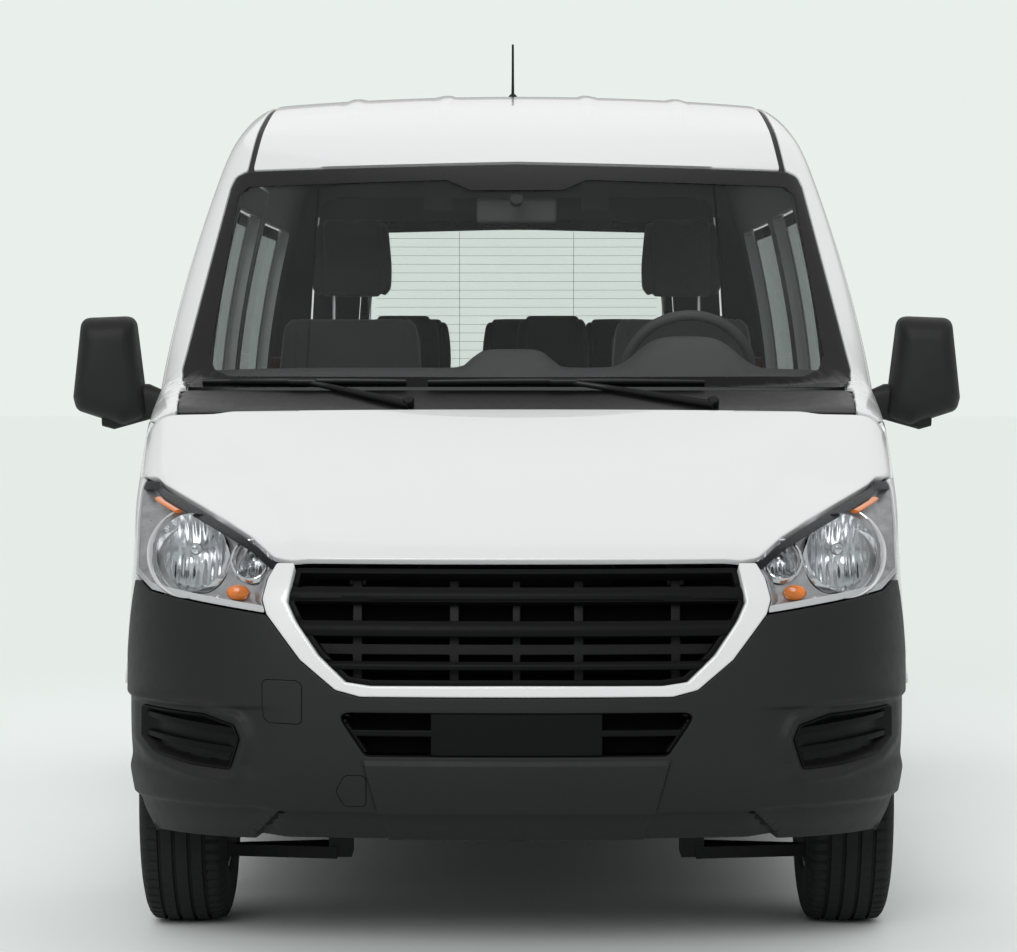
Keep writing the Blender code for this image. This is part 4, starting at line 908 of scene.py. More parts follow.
class MINIBUS_OT_finishes(bpy.types.Operator):
    """Makes all the materials"""
    bl_idname = "minibus.finishes"
    bl_label = "Finishes"

    def execute(self, context):
        f = context.scene.minibus_finish
        finish("paint", f.paint, 0.32, coat=1.0, coat_rough=0.03, grain=(900, 0.03, 0.0002),
               vary=(1.6, 0.012), rough_vary=0.03)
        finish("plastic", f.plastic, 0.50, grain=(1400, 0.22, 0.0004), vary=(4, 0.10), specular=0.22)
        finish("plastic_smooth", (0.006, 0.006, 0.0065), 0.34, grain=(500, 0.05, 0.0002), vary=(4, 0.1),
               specular=0.30)
        finish("gloss_black", (0.004, 0.004, 0.0045), 0.18, grain=(300, 0.02, 0.0002), specular=0.30)
        finish("grille_plastic", (0.0045, 0.0045, 0.0047), 0.45, grain=(900, 0.10, 0.0003),
               vary=(5, 0.12), specular=0.10)
        # A darker copy of the black grille plastic for what lies deep, the ribs behind the slats and the
        # fog recess: the plastic's own black darkened further as painted shade.
        finish("grille_painted_shade", (0.0030, 0.0030, 0.0032), 0.5, grain=(900, 0.10, 0.0003), vary=(5, 0.12),
               specular=0.2)
        # A near-black, matt sheet: painted shade behind the grille and the lower vent, in the gaps round
        # the bumper's covers and in the slider's rail.
        finish("painted_shade_black", (0.0015, 0.0015, 0.0015), 0.9, grain=(200, 0.1, 0.0005), specular=0.05)
        finish("frit", (0.003, 0.003, 0.0032), 0.26, grain=(700, 0.03, 0.0001), specular=0.22)
        finish("chrome", (0.86, 0.87, 0.88), 0.10, metal=1.0, rough_vary=0.05, grain=(60, 0.03, 0.0004))
        finish("reflector", (0.80, 0.81, 0.82), 0.14, metal=1.0, rough_vary=0.06, vary=(14, 0.1))
        finish("lamp_grey", (0.46, 0.46, 0.465), 0.30, metal=0.6, grain=(600, 0.06, 0.0003),
               vary=(30, 0.35))
        finish("amber", (0.78, 0.20, 0.02), 0.22, coat=0.6, grain=(260, 0.25, 0.0006), vary=(20, 0.15))
        finish("red_lens", (0.45, 0.012, 0.010), 0.14, coat=1.0, grain=(240, 0.25, 0.0006))
        finish("white_lens", (0.72, 0.72, 0.72), 0.16, coat=1.0, grain=(240, 0.25, 0.0006))
        finish("rubber", (0.009, 0.009, 0.0093), 0.78, grain=(700, 0.25, 0.0005), vary=(6, 0.18),
               specular=0.3)
        finish("rubber_seal", (0.009, 0.009, 0.009), 0.65, grain=(500, 0.15, 0.0003))
        finish("steel", (0.42, 0.43, 0.44), 0.36, metal=0.85, coat=0.2, grain=(500, 0.06, 0.0003))
        finish("iron", (0.050, 0.048, 0.046), 0.62, metal=0.6, grain=(240, 0.3, 0.0008), vary=(9, 0.2))
        finish("underseal", (0.020, 0.020, 0.020), 0.85, grain=(300, 0.4, 0.001), vary=(6, 0.2))
        finish("trim", (0.055, 0.055, 0.057), 0.62, grain=(1100, 0.2, 0.0004), vary=(4, 0.1))
        finish("lining", (0.13, 0.13, 0.132), 0.9, grain=(1300, 0.4, 0.0006), vary=(5, 0.08), sheen=0.1)
        finish("carpet", (0.018, 0.018, 0.019), 0.95, grain=(1500, 0.6, 0.002), vary=(10, 0.2), sheen=0.2)
        finish("mirror_glass", (0.75, 0.78, 0.80), 0.03, metal=1.0, rough_vary=0.015,
               grain=(8, 0.01, 0.0003))
        finish("screen_line", (0.10, 0.075, 0.06), 0.6, grain=(300, 0.1, 0.0002))
        # The windscreen's gloss layer has a grey base colour of 0.11, a painted reflection veil over the
        # cabin behind it; the side glass has a fainter one of 0.03.
        clear("glass", (0.972, 0.985, 0.980), 0.050, dust_and_veil=0.030, edge=0.5, painted_veil=0.11)
        clear("glass_rear", (0.975, 0.985, 0.980), 0.020, dust_and_veil=0.010, edge=0.5)
        clear("glass_side", (0.62, 0.64, 0.635), 0.04, dust_and_veil=0.02, edge=0.6, painted_veil=0.03)
        clear("lens_clear", (0.95, 0.955, 0.96), 0.02, dust_and_veil=0.01, edge=0.45)
        cloth("seat_cloth", f.seat)
        return {"FINISHED"}


def bonnet_shape(x, u, z):
    """A broad raised middle with a soft shoulder that runs out from the nose to the screen."""
    line = 0.545 + 0.25 * step(u, 0.15, 0.95)
    return 0.007 * (1 - step(x, line - 0.035, line + 0.035)) - 0.0035


def roof_shape(x, u, z):
    """Four shallow ribs along the roof, fading out at both ends."""
    height = bpy.context.scene.minibus_sizes.rib_height
    fade = step(u, 2.10, 2.35) * (1 - step(u, 4.75, 4.95))
    return height * sum(np.exp(-((x - rib) / 0.022) ** 4) for rib in RIBS) * fade


def side_shape(x, u, z):
    """Pressed lines along the flanks: a swage below the windows and a scooped panel under it."""
    swage = 0.006 * np.exp(-((z - SWAGE) / 0.014) ** 2)
    scoop = -0.008 * step(z, 0.66, 0.72) * (1 - step(z, 1.12, 1.19))
    along = step(u, 1.05, 1.30) * (1 - step(u, 4.80, 5.05))
    upright = step(x, 0.93, 0.97)
    d = np.minimum(np.hypot(u - FRONT_AXLE, z - TYRE_RADIUS), np.hypot(u - REAR_AXLE, z - TYRE_RADIUS))
    lip = 0.007 * np.exp(-((d - ARCH_RADIUS - 0.010) / 0.016) ** 2)
    clear_of_lip = step(d, ARCH_RADIUS + 0.02, ARCH_RADIUS + 0.07)
    return (swage + scoop * clear_of_lip) * along * upright + lip


def roof_lines(x, u, z):
    return np.minimum(np.abs(x - RIBS[0]), np.abs(x - RIBS[1])) + FAR * (z < 2.1)


def side_lines(x, u, z):
    """Distance to the lines pressed in the flank and round the wheel openings."""
    d = np.minimum(np.abs(z - SWAGE), np.minimum(np.abs(z - 0.690), np.abs(z - 1.155)))
    for axle in (FRONT_AXLE, REAR_AXLE):
        d = np.minimum(d, np.abs(np.hypot(u - axle, z - TYRE_RADIUS) - ARCH_RADIUS - 0.010))
    return d + FAR * (x < 0.85)


def seam_x(z):
    """The slanted seam of the bumper's raised middle."""
    return 0.345 + (z - 0.385) * 0.27


def lip_x(z):
    """The slanted end of the bumper's lip."""
    return 0.585 + (0.387 - z) * 0.8


def bumper_lines(x, u, z):
    """Distance to the lines of the bumper's relief."""
    lines = [np.abs(z - 0.644) + FAR * (x < 0.52), np.abs(outline(FOG, x, z) - 0.016),
             np.abs(z - 0.389) + FAR * (x < 0.52), np.abs(x - seam_x(z)) + FAR * (z > 0.54),
             np.abs(z - 0.512) + FAR * (x > 0.42), np.abs(z - 0.383) + FAR * (x > 0.66),
             np.abs(x - lip_x(z)) + FAR * (z > 0.40)]
    return np.min(lines, axis=0)


def bumper_shape(x, u, z):
    """Relief of the bumper: a shoulder under the lamps, a frame round each fog recess, a raised
    middle with slanted seams, a chamfer along the bottom and a lip that lies back in the middle."""
    band = -0.010 * (1 - step(z, 0.636, 0.652)) * step(z, 0.455, 0.50) * step(x, 0.56, 0.66)
    d = outline(FOG, x, z)
    inner = 1 - step(x, 0.80, 0.93)
    frame = 0.012 * np.exp(-((d - 0.020) / 0.013) ** 2) * (0.35 + 0.65 * inner)
    chamfer = -0.014 * (1 - step(z, 0.378, 0.402)) * step(x, 0.57, 0.66)
    line, edge = seam_x(z), lip_x(z)
    middle = 0.006 * (1 - step(z, 0.505, 0.52)) * (1 - step(x, line - 0.003, line + 0.003))
    lip = -0.024 * (1 - step(z, 0.378, 0.387)) * (1 - step(x, edge - 0.006, edge + 0.006))
    groove = (1 - step(z, 0.512, 0.522)) * step(z, 0.38, 0.39)
    seam = -0.004 * np.exp(-((x - line) / 0.003) ** 2) * groove
    return band + frame + chamfer + middle + lip + seam


class MINIBUS_OT_panels(bpy.types.Operator):
    """Makes the painted panels from the skin"""
    bl_idname = "minibus.panels"
    bl_label = "Painted panels"

    def execute(self, context):
        r = context.scene.minibus_sizes.rim_radius
        paint = [M("paint"), M("trim")]
        steel = [M("paint"), M("underseal")]
        panel("bonnet_panel", bonnet_region, "bonnet", steel, radius=0.004, thickness=0.018,
              shape=bonnet_shape, replaces=["bonnet"])

        def roof_region(x, u, z):
            d = np.maximum(x - ditch_x(u) + 0.009, 2.04 - z)
            d = np.maximum(d, -(screen_region(x, u, z) - 0.002))
            d = np.maximum(d, -(gate_region(x, u, z) - GAP))
            relief = np.hypot(u - GATE_HINGE[1], z - GATE_HINGE[2]) - 0.027
            return np.maximum(d, -relief)

        panel("roof_panel", roof_region, "body", paint, radius=r, thickness=0.034,
              shape=roof_shape, replaces=["roof"], pressed=(roof_lines, LINE_REACH))

        def side_region(x, u, z):
            d = outline([(1.270, 0.290), (5.400, 0.290), (5.400, 2.450), (0.950, 2.450),
                         (0.950, 1.3400), (1.500, 1.3400), (1.500, 0.3980), (1.270, 0.3980)], u, z)
            d = np.maximum(d, ditch_x(u) + 0.009 - x)
            for cut in (door_region(x, u, z) - GAP, screen_region(x, u, z) - 0.002,
                        cowl_region(x, u, z) - 0.001, bonnet_region(x, u, z) - GAP,
                        arch_region(x, u, z, REAR_AXLE), arch_region(x, u, z, FRONT_AXLE),
                        gate_region(x, u, z) - GAP, rear_bumper_region(x, u, z) - 0.001,
                        tail_lamp_region(x, u, z) - 0.001, outline(REAR_SIDE_WINDOW, u, z)):
                d = np.maximum(d, -cut)
            return d

        def left_region(x, u, z):
            return np.maximum(side_region(x, u, z), -outline(MIDDLE_WINDOW, u, z))

        def right_region(x, u, z):
            return np.maximum(side_region(x, u, z), -(slider_region(x, u, z) - GAP))

        panel("side_left", left_region, "body", paint, 1, r, 0.044, shape=side_shape,
              replaces=["body_side_left"], pressed=(side_lines, LINE_REACH))
        panel("side_right", right_region, "body", paint, -1, r, 0.044, shape=side_shape,
              replaces=["body_side_right"], pressed=(side_lines, LINE_REACH))

        def wing_region(x, u, z):
            d = np.maximum(np.maximum(0.60 - x, 0.30 - u), np.maximum(u - 1.40, z - 1.3375))
            d = np.maximum(d, 0.4004 - z)
            for cut in (cowl_region(x, u, z) - 0.001, bonnet_region(x, u, z) - GAP,
                        lamp_region(x, u, z) - 0.002, door_region(x, u, z) - GAP,
                        outline(BUMPER_SIDE, u, z) - 0.001, surround_region(x, u, z) - 0.001,
                        arch_region(x, u, z, FRONT_AXLE)):
                d = np.maximum(d, -cut)
            return d

        for side, label in ((1, "left"), (-1, "right")):
            panel("wing_panel_" + label, wing_region, "body", steel, side, 0.002, 0.020,
                  shape=side_shape, replaces=["wing_" + label], pressed=(side_lines, LINE_REACH))

            def front_door(x, u, z):
                return np.maximum(door_region(x, u, z), -outline(DOOR_WINDOW, u, z))

            panel("door_panel_" + label, front_door, "door_" + label, paint, side, r, 0.044,
                  shape=side_shape, replaces=["front_door_" + label], pressed=(side_lines, LINE_REACH))

        def sliding(x, u, z):
            return np.maximum(slider_region(x, u, z), -outline(MIDDLE_WINDOW, u, z))

        panel("sliding_panel", sliding, "body", paint, -1, r, 0.044, shape=side_shape,
              replaces=["sliding_door"], pressed=(side_lines, LINE_REACH))

        def glazed_gate(x, u, z):
            return np.maximum(gate_region(x, u, z), -np.maximum(outline(REAR_WINDOW, x, z), 4.9 - u))

        def gate(x, u, z):
            round_pin = np.hypot(u - GATE_HINGE[1], z - GATE_HINGE[2]) - 0.036
            notch = np.maximum(round_pin, np.abs(x - GATE_HINGE[0]) - 0.0304)
            return np.maximum(glazed_gate(x, u, z), -notch)

        panel("gate_panel", gate, "tailgate", paint, radius=r, thickness=0.040, replaces=["tailgate"])

        def lining(x, u, z):
            d = np.maximum(x - ditch_x(u) - 0.035, np.maximum(2.06 - z, u - 5.20))
            d = np.maximum(d, -(screen_region(x, u, z) + 0.012))
            notch = np.maximum(np.abs(x - GATE_HINGE[0]) - 0.05, 5.00 - u)
            return np.maximum(np.maximum(d, -notch), -(gate_region(x, u, z) + 0.03))

        panel("headliner", lining, "body", [M("lining")] * 2, radius=0.003, thickness=0.004,
              depth=0.041)

        def gate_inside(x, u, z):
            return np.maximum(glazed_gate(x, u, z), z - 2.128)

        panel("gate_lining", gate_inside, "tailgate", [M("trim")] * 2, radius=0.003, thickness=0.004,
              depth=0.046)
        parts = []
        for s in (-1, 1):
            at = s * GATE_HINGE[0]
            parts.append(tube(xuz([at - 0.028, at + 0.028], *GATE_HINGE[1:]), 0.0085, 16))
            for half, u0, u1, z0, z1 in ((0.011, 5.075, 5.140, 2.150, 2.164),
                                         (0.011, 5.060, 5.084, 2.150, 2.260),
                                         (0.054, 5.046, 5.056, 2.080, 2.215)):
                parts.append(rounded_box((at - half, u0, z0), (at + half, u1, z1), 0.004))
        solid("gate_hinges", parts, "body", M("lining"))
        return {"FINISHED"}


class MINIBUS_OT_glass(bpy.types.Operator):
    """Makes the windscreen, the side and rear glass, and the black borders printed on them"""
    bl_idname = "minibus.glass"
    bl_label = "Glass"

    def execute(self, context):
        def pane(x, u, z):
            return screen_region(x, u, z) + 0.004

        def border(x, u, z):
            return np.maximum(screen_region(x, u, z) + 0.0015, -outline(SCREEN_CLEAR, x, z))

        panel("screen_glass", pane, "body", [M("glass")] * 2, radius=0.0012, thickness=0.0040,
              depth=0.0035, replaces=["windscreen"])
        panel("screen_border", border, "body", [M("frit")] * 2, radius=0.0008, thickness=0.0012,
              depth=0.0015, levels=2)
        panel("light_sensor", lambda x, u, z: np.maximum(np.hypot(x, z - 1.985) - 0.020, u - 2.2),
              "body", [M("gloss_black")] * 2, radius=0.001, thickness=0.012, depth=0.009)
        panes = [("door_glass", DOOR_WINDOW, "door_{}", "front_door_glass_{}", "front_door_glass_{}"),
                 ("middle_pane", MIDDLE_WINDOW, "body", "middle_glass_left", "sliding_door_glass"),
                 ("rear_quarter", REAR_SIDE_WINDOW, "body", "rear_side_glass_{}", "rear_side_glass_{}")]
        for side, label in ((1, "left"), (-1, "right")):
            for name, shape, body, left_node, right_node in panes:
                node = (left_node if side > 0 else right_node).format(label)
                width = 0.016 if name == "door_glass" else 0.040
                panel(name + "_" + label,
                      lambda x, u, z: np.maximum(outline(shape, u, z) + 0.0022, 0.7 - x),
                      body.format(label), [M("glass_side")] * 2, side, 0.001, 0.0035, depth=0.0058,
                      replaces=[node])
                panel(name + "_border_" + label,
                      lambda x, u, z: np.maximum(np.maximum(outline(shape, u, z) + 0.0035, 0.7 - x),
                                                 -outline(shape, u, z) - width),
                      body.format(label), [M("frit")] * 2, side, 0.0004, 0.001, depth=0.0045)
        panel("rear_pane", lambda x, u, z: np.maximum(outline(REAR_WINDOW, x, z) + 0.0022, 4.8 - u),
              "tailgate", [M("glass_rear")] * 2, radius=0.001, thickness=0.0035, depth=0.0058,
              replaces=["rear_glass"])
        panel("rear_pane_border",
              lambda x, u, z: np.maximum(np.maximum(outline(REAR_WINDOW, x, z) + 0.0035, 4.8 - u),
                                         -outline(REAR_WINDOW, x, z) - 0.045),
              "tailgate", [M("frit")] * 2, radius=0.0004, thickness=0.001, depth=0.0045)
        lines = []
        x = np.linspace(-0.54, 0.54, 13)
        for z in np.arange(1.48, 2.01, 0.033):
            lines.append(tube(xuz(x, rear_u(np.abs(x), z) - 0.011, z), 0.0006, 4))
        z = np.linspace(1.48, 2.0, 9)
        for x in (-0.22, 0.22):
            lines.append(tube(xuz(x, rear_u(abs(x), z) - 0.011, z), 0.0008, 4))
        solid("heater_lines", lines, "tailgate", M("screen_line"))
        return {"FINISHED"}


class MINIBUS_OT_front(bpy.types.Operator):
    """Makes the bumper, its vents, the grille and its surround"""
    bl_idname = "minibus.front"
    bl_label = "Front trim"

    def execute(self, context):
        plastic = [M("plastic"), M("underseal")]

        def bumper(x, u, z):
            d = outline(BUMPER_SIDE, u, z)
            for cut in (bonnet_region(x, u, z) - GAP, lamp_region(x, u, z) - 0.002,
                        surround_region(x, u, z) - 0.0015,
                        np.maximum(outline(INTAKE, x, z), u - 0.5),
                        np.maximum(outline(FOG, x, z), u - 0.6),
                        arch_region(x, u, z, FRONT_AXLE), np.maximum(0.98 - z, x - 0.70)):
                d = np.maximum(d, -cut)
            return d

        panel("bumper_skin", bumper, "body", plastic, radius=0.003, thickness=0.026,
              shape=bumper_shape, replaces=["front_bumper"], pressed=(bumper_lines, FINE_REACH))

        def frame_region(x, u, z):
            return np.maximum(surround_region(x, u, z), -outline(SURROUND_IN, x, z))

        panel("grille_frame", frame_region, "body", [M("paint"), M("plastic")], radius=0.005,
              thickness=0.030, depth=-0.004, replaces=["grille_surround"], levels=2)

        def inside(x, u, z):
            return np.maximum(outline(SURROUND_IN, x, z) + 0.001, np.maximum(z - 0.9985, u - 0.5))

        slats = [(0.947, 0.912), (0.865, 0.826), (0.764, 0.743), (0.718, 0.706)]

        def grille_region(x, u, z):
            gap = np.full(x.shape, FAR)
            for high, low in slats:
                gap = np.minimum(gap, np.abs(z - (high + low) / 2) - (high - low) / 2)
            rim = -(inside(x, u, z) + 0.014)
            return np.maximum(inside(x, u, z), np.minimum(gap, rim))

        def blade(x, u, z):
            """Each slat is a blade: its middle stands out as a parabola and it leans back above."""
            out = 0 * z
            for high, low in slats[:3]:
                t = (z - (high + low) / 2) / ((high - low) / 2)
                out = np.where(np.abs(t) < 1.05, 0.007 * (1 - t * t) - 0.004 * t, out)
            return out

        panel("grille_bars", grille_region, "body", [M("grille_plastic")] * 2, radius=0.003,
              thickness=0.030, depth=0.014, shape=blade, replaces=["grille"], levels=2)

        def behind(x, u, z):
            d = np.abs(z - 0.959) - 0.010
            d = np.minimum(d, np.abs(z - 0.796) - 0.014)
            for at in (0.0, 0.156, 0.400):
                d = np.minimum(d, np.abs(x - at) - (0.010 if at == 0.0 else 0.012))
            return np.maximum(inside(x, u, z) + 0.004, d)

        # The ribs behind the slats take the darker grille plastic, painted shade for their depth.
        panel("grille_ribs", behind, "body", [M("grille_painted_shade")] * 2, radius=0.002, thickness=0.014,
              depth=0.046, levels=2)
        # The near-black sheet behind the grille is painted shade for the space behind it.
        panel("grille_back", lambda x, u, z: inside(x, u, z) + 0.003, "body", [M("painted_shade_black")] * 2,
              radius=0.001, thickness=0.003, depth=0.075)

        def vent(x, u, z):
            return np.maximum(outline(INTAKE, x, z) + 0.001, u - 0.4)

        def vent_bars(x, u, z):
            bar = np.abs(z - 0.586) - 0.008
            plate = x - 0.212
            rim = -(vent(x, u, z) + 0.009)
            return np.maximum(vent(x, u, z), np.minimum(np.minimum(bar, plate), rim))

        panel("lower_vent", vent_bars, "body", [M("grille_plastic")] * 2, radius=0.003,
              thickness=0.028, depth=0.008, replaces=["lower_grille"], levels=2)
        # The near-black sheet behind the lower vent is painted shade for the space behind it.
        panel("lower_vent_back", lambda x, u, z: vent(x, u, z) + 0.002, "body",
              [M("painted_shade_black")] * 2, radius=0.001, thickness=0.003, depth=0.05)

        def recess(x, u, z):
            return np.maximum(outline(FOG, x, z) + 0.0008, u - 0.6)

        # The fog recess takes the darker grille plastic, painted shade for the recess.
        panel("fog_recess", recess, "body", [M("grille_painted_shade")] * 2, radius=0.0015, thickness=0.003,
              shape=lambda x, u, z: -0.004 - 0.030 * step(-outline(FOG, x, z), 0.0, 0.020), levels=2)

        def fog_slats(x, u, z):
            d = FAR
            for middle in (0.597, 0.548):
                d = np.minimum(d, np.abs(z - middle + 0.10 * (0.83 - x)) - 0.0075)
            return np.maximum(recess(x, u, z) + 0.004, d)

        panel("fog_slats", fog_slats, "body", [M("grille_plastic")] * 2, radius=0.002, thickness=0.012,
              depth=0.016, levels=2)

        covers = {"tow": rounded([(0.531, 0.612), (0.540, 0.607), (0.614, 0.610), (0.628, 0.622),
                                  (0.629, 0.708), (0.622, 0.715), (0.545, 0.713), (0.531, 0.704)], 0.014),
                  "jack": rounded([(0.372, 0.402), (0.425, 0.402), (0.446, 0.440), (0.425, 0.480),
                                   (0.372, 0.480)], 0.014)}
        for name, shape in covers.items():
            # A near-black ring shows in the gap round each cover: painted shade in the gap.
            panel(name + "_gap", lambda x, u, z: np.maximum(outline(shape, x, z) - 0.0016, u - 0.5),
                  "body", [M("painted_shade_black")] * 2, -1, 0.0003, 0.0012, depth=-0.0003,
                  shape=bumper_shape, levels=2)
            panel(name + "_cover", lambda x, u, z: np.maximum(outline(shape, x, z), u - 0.5),
                  "body", plastic, -1, 0.0012, 0.0035, depth=-0.0016, shape=bumper_shape, levels=2)
        return {"FINISHED"}


class MINIBUS_OT_headlamps(bpy.types.Operator):
    """Makes the headlamps: pan, two reflector bowls, crescent, bulbs, dark rim and clear lens"""
    bl_idname = "minibus.headlamps"
    bl_label = "Headlamps"

    def execute(self, context):
        bowls = [(0.826, 1.018, 0.095, 0.462, 0.062), (0.664, 1.002, 0.042, 0.300, 0.030)]

        def pan(x, u, z):
            d = lamp_region(x, u, z) + 0.003
            for cx, cz, r, _, _ in bowls:
                d = np.maximum(d, r - np.hypot(x - cx, z - cz))
            return d

        def sunk(x, u, z):
            """The pan lies deep in the middle and rises to the lens all round its rim."""
            return -0.006 - 0.024 * step(-lamp_region(x, u, z), 0.004, 0.030)

        def top_line(x):
            return np.interp(x, *np.array(LAMP_TOP).T)

        def low_line(x):
            return np.interp(x, [0.55, 0.60, 0.791, 0.932, 0.977, 1.1],
                             [0.870, 0.873, 0.900, 0.921, 0.952, 1.0])

        for side, label in ((1, "left"), (-1, "right")):
            panel("lamp_pan_" + label, pan, "body", [M("lamp_grey")] * 2, side, 0.001, 0.002,
                  shape=sunk, levels=2, replaces=["headlamp_" + label])
            panel("lamp_lens_" + label, lambda x, u, z: lamp_region(x, u, z) + 0.001, "body",
                  [M("lens_clear")] * 2, side, 0.002, 0.0025, levels=2)
            panel("lamp_brow_" + label,
                  lambda x, u, z: np.maximum(lamp_region(x, u, z) + 0.002, top_line(x) - 0.024 - z),
                  "body", [M("gloss_black")] * 2, side, 0.0008, 0.0015, depth=0.0035, levels=2)
            panel("lamp_sill_" + label,
                  lambda x, u, z: np.maximum(lamp_region(x, u, z) + 0.003, z - low_line(x) - 0.020),
                  "body", [M("white_lens")] * 2, side, 0.001, 0.0015, depth=0.0045, levels=2)
            shiny, dull = [], []
            for cx, cz, r, deep, dish in bowls:
                n = 112
                a = np.linspace(0, 2 * math.pi, n + 1)[:-1][None]
                t = np.concatenate([np.linspace(0.08, 1, 28), np.full(7, 1.0)])[:, None]
                x, z = cx + r * t * np.cos(a), cz + r * t * np.sin(a)
                flange = 0.0006 + 0.020 * np.maximum(np.cos(a[0] - math.radians(240)), 0)
                x[34], z[34] = x[33] + flange * np.cos(a[0]), z[33] + flange * np.sin(a[0])
                flutes = 0.0012 * np.sin(330 * x) * (0.7 + 0.3 * np.sin(z * 60)) * t * (t < 0.999)
                u = deep - dish * t ** 2 + flutes
                rim = front_u(x[33], z[33]) + 0.030
                for k in range(6):
                    u[28 + k] = u[27] + (rim - u[27]) * (k + 1) / 6
                u[34] = rim + 0.003
                p = xuz(x, u, z).reshape(-1, 3)
                index = np.arange(len(p)).reshape(-1, n)
                index = np.concatenate([index, index[:, :1]], 1)
                tris = split(grid_quads(index)[:, ::-1])
                hub = np.array([[cx, deep, cz]])
                fan = np.stack([index[0, 1:], index[0, :-1], np.full(n, len(p))], 1)[:, ::-1]
                p, tris = np.concatenate([p, hub]), np.concatenate([tris, fan])
                normal = normals_of(p, tris)
                if normal[-1, 1] > 0:
                    tris, normal = tris[:, ::-1], -normal
                q, faces, _ = shell(p, normal, tris, 0.0006, 0.0012, 2)
                shiny.append((q, faces))
                shiny.append(turned([(0, 0), (0.0, r * 0.16), (0.020, r * 0.15), (0.030, r * 0.10),
                                     (0.032, 0)], (cx, deep - 0.004, cz), (0, -1, 0), 24))
            a = np.radians(np.linspace(-100, 62, 60))
            x, z = 0.826 + 0.112 * np.cos(a), 1.018 + 0.110 * np.sin(a)
            x = np.minimum(x, 0.962)
            ring = xuz(x, front_u(x, z) + 0.012, z)
            width = 0.0085 * np.sin(np.linspace(0.25, math.pi - 0.25, 60)) ** 0.4
            dull.append(tube(ring, width, 12, squash=(1.0, 0.55)))
            a = np.linspace(0, 2 * math.pi, 60)[:-1]
            x, z = 0.668 + 0.047 * np.cos(a), 1.004 + 0.047 * np.sin(a)
            dull.append(tube(xuz(x, front_u(x, z) + 0.022, z), 0.0035, 10, closed=True))
            solid("lamp_bowls_" + label, shiny, "body", M("reflector"), side=side)
            solid("lamp_rings_" + label, dull, "body", M("chrome"), side=side)
            spot = np.array([0.694, front_u(0.694, 0.925) + 0.018, 0.925])
            bulb = turned([(-0.012, 0.0), (-0.012, 0.020), (0.0, 0.024), (0.008, 0.020), (0.013, 0.010),
                           (0.0145, 0)], (0, 0, 0), (0, -1, 0), 32)
            bulb = (bulb[0] * np.array([1.2, 1, 0.85]) + spot, bulb[1])
            x = np.linspace(0.870, 0.930, 12)
            z = top_line(x) - 0.036
            strip = tube(xuz(x, front_u(x, z) + 0.010, z), 0.0125, 12, squash=(1, 0.4))
            solid("lamp_amber_" + label, [bulb, strip], "body", M("amber"), side=side)
        return {"FINISHED"}


MIRROR_SHAPE = rounded([(1.075, 1.630), (1.225, 1.624), (1.249, 1.400), (1.240, 1.364), (1.110, 1.322),
                        (1.040, 1.345)], 0.032, 8)


class MINIBUS_OT_mirrors(bpy.types.Operator):
    """Makes the door mirrors: housing, arm and glass"""
    bl_idname = "minibus.mirrors"
    bl_label = "Mirrors"

    def execute(self, context):
        ring = np.array(MIRROR_SHAPE)[::-1]
        middle = np.array([1.150, 1.480])

        def slice_at(u, scale):
            x, z = (middle + (ring - middle) * scale).T
            return xuz(x, u, z)

        for side, label in ((1, "left"), (-1, "right")):
            t = np.linspace(0.0, 1.0, 14)
            sections = [slice_at(1.290 + 0.070 * k, 0.55 + 0.45 * math.sqrt(1 - (1 - k) ** 2))
                        for k in t]
            sections += [slice_at(1.400, 1.0), slice_at(1.413, 0.992), slice_at(1.418, 0.975),
                         slice_at(1.416, 0.945), slice_at(1.400, 0.93)]
            head = loft(sections)
            a = np.linspace(0, 2 * math.pi, 25)[:-1]
            wide, high = (np.sign(v) * np.abs(v) ** 0.7 for v in (np.cos(a), np.sin(a)))
            arm = loft([xuz(x, 1.372 + 0.030 * wide, z + half * high) for x, z, half in (
                (1.168, 1.343, 0.024), (1.135, 1.360, 0.050), (1.085, 1.382, 0.058),
                (1.035, 1.388, 0.050), (0.985, 1.378, 0.038))])
            solid("mirror_body_" + label, [head, arm], "door_" + label, M("plastic"),
                  ["mirror_" + label], side=side)
            rows = [slice_at(1.412, 0.93), slice_at(1.4165, 0.93), slice_at(1.4155, 0.90)]
            solid("mirror_pane_" + label, [loft(rows)], "door_" + label, M("mirror_glass"), side=side)
        return {"FINISHED"}


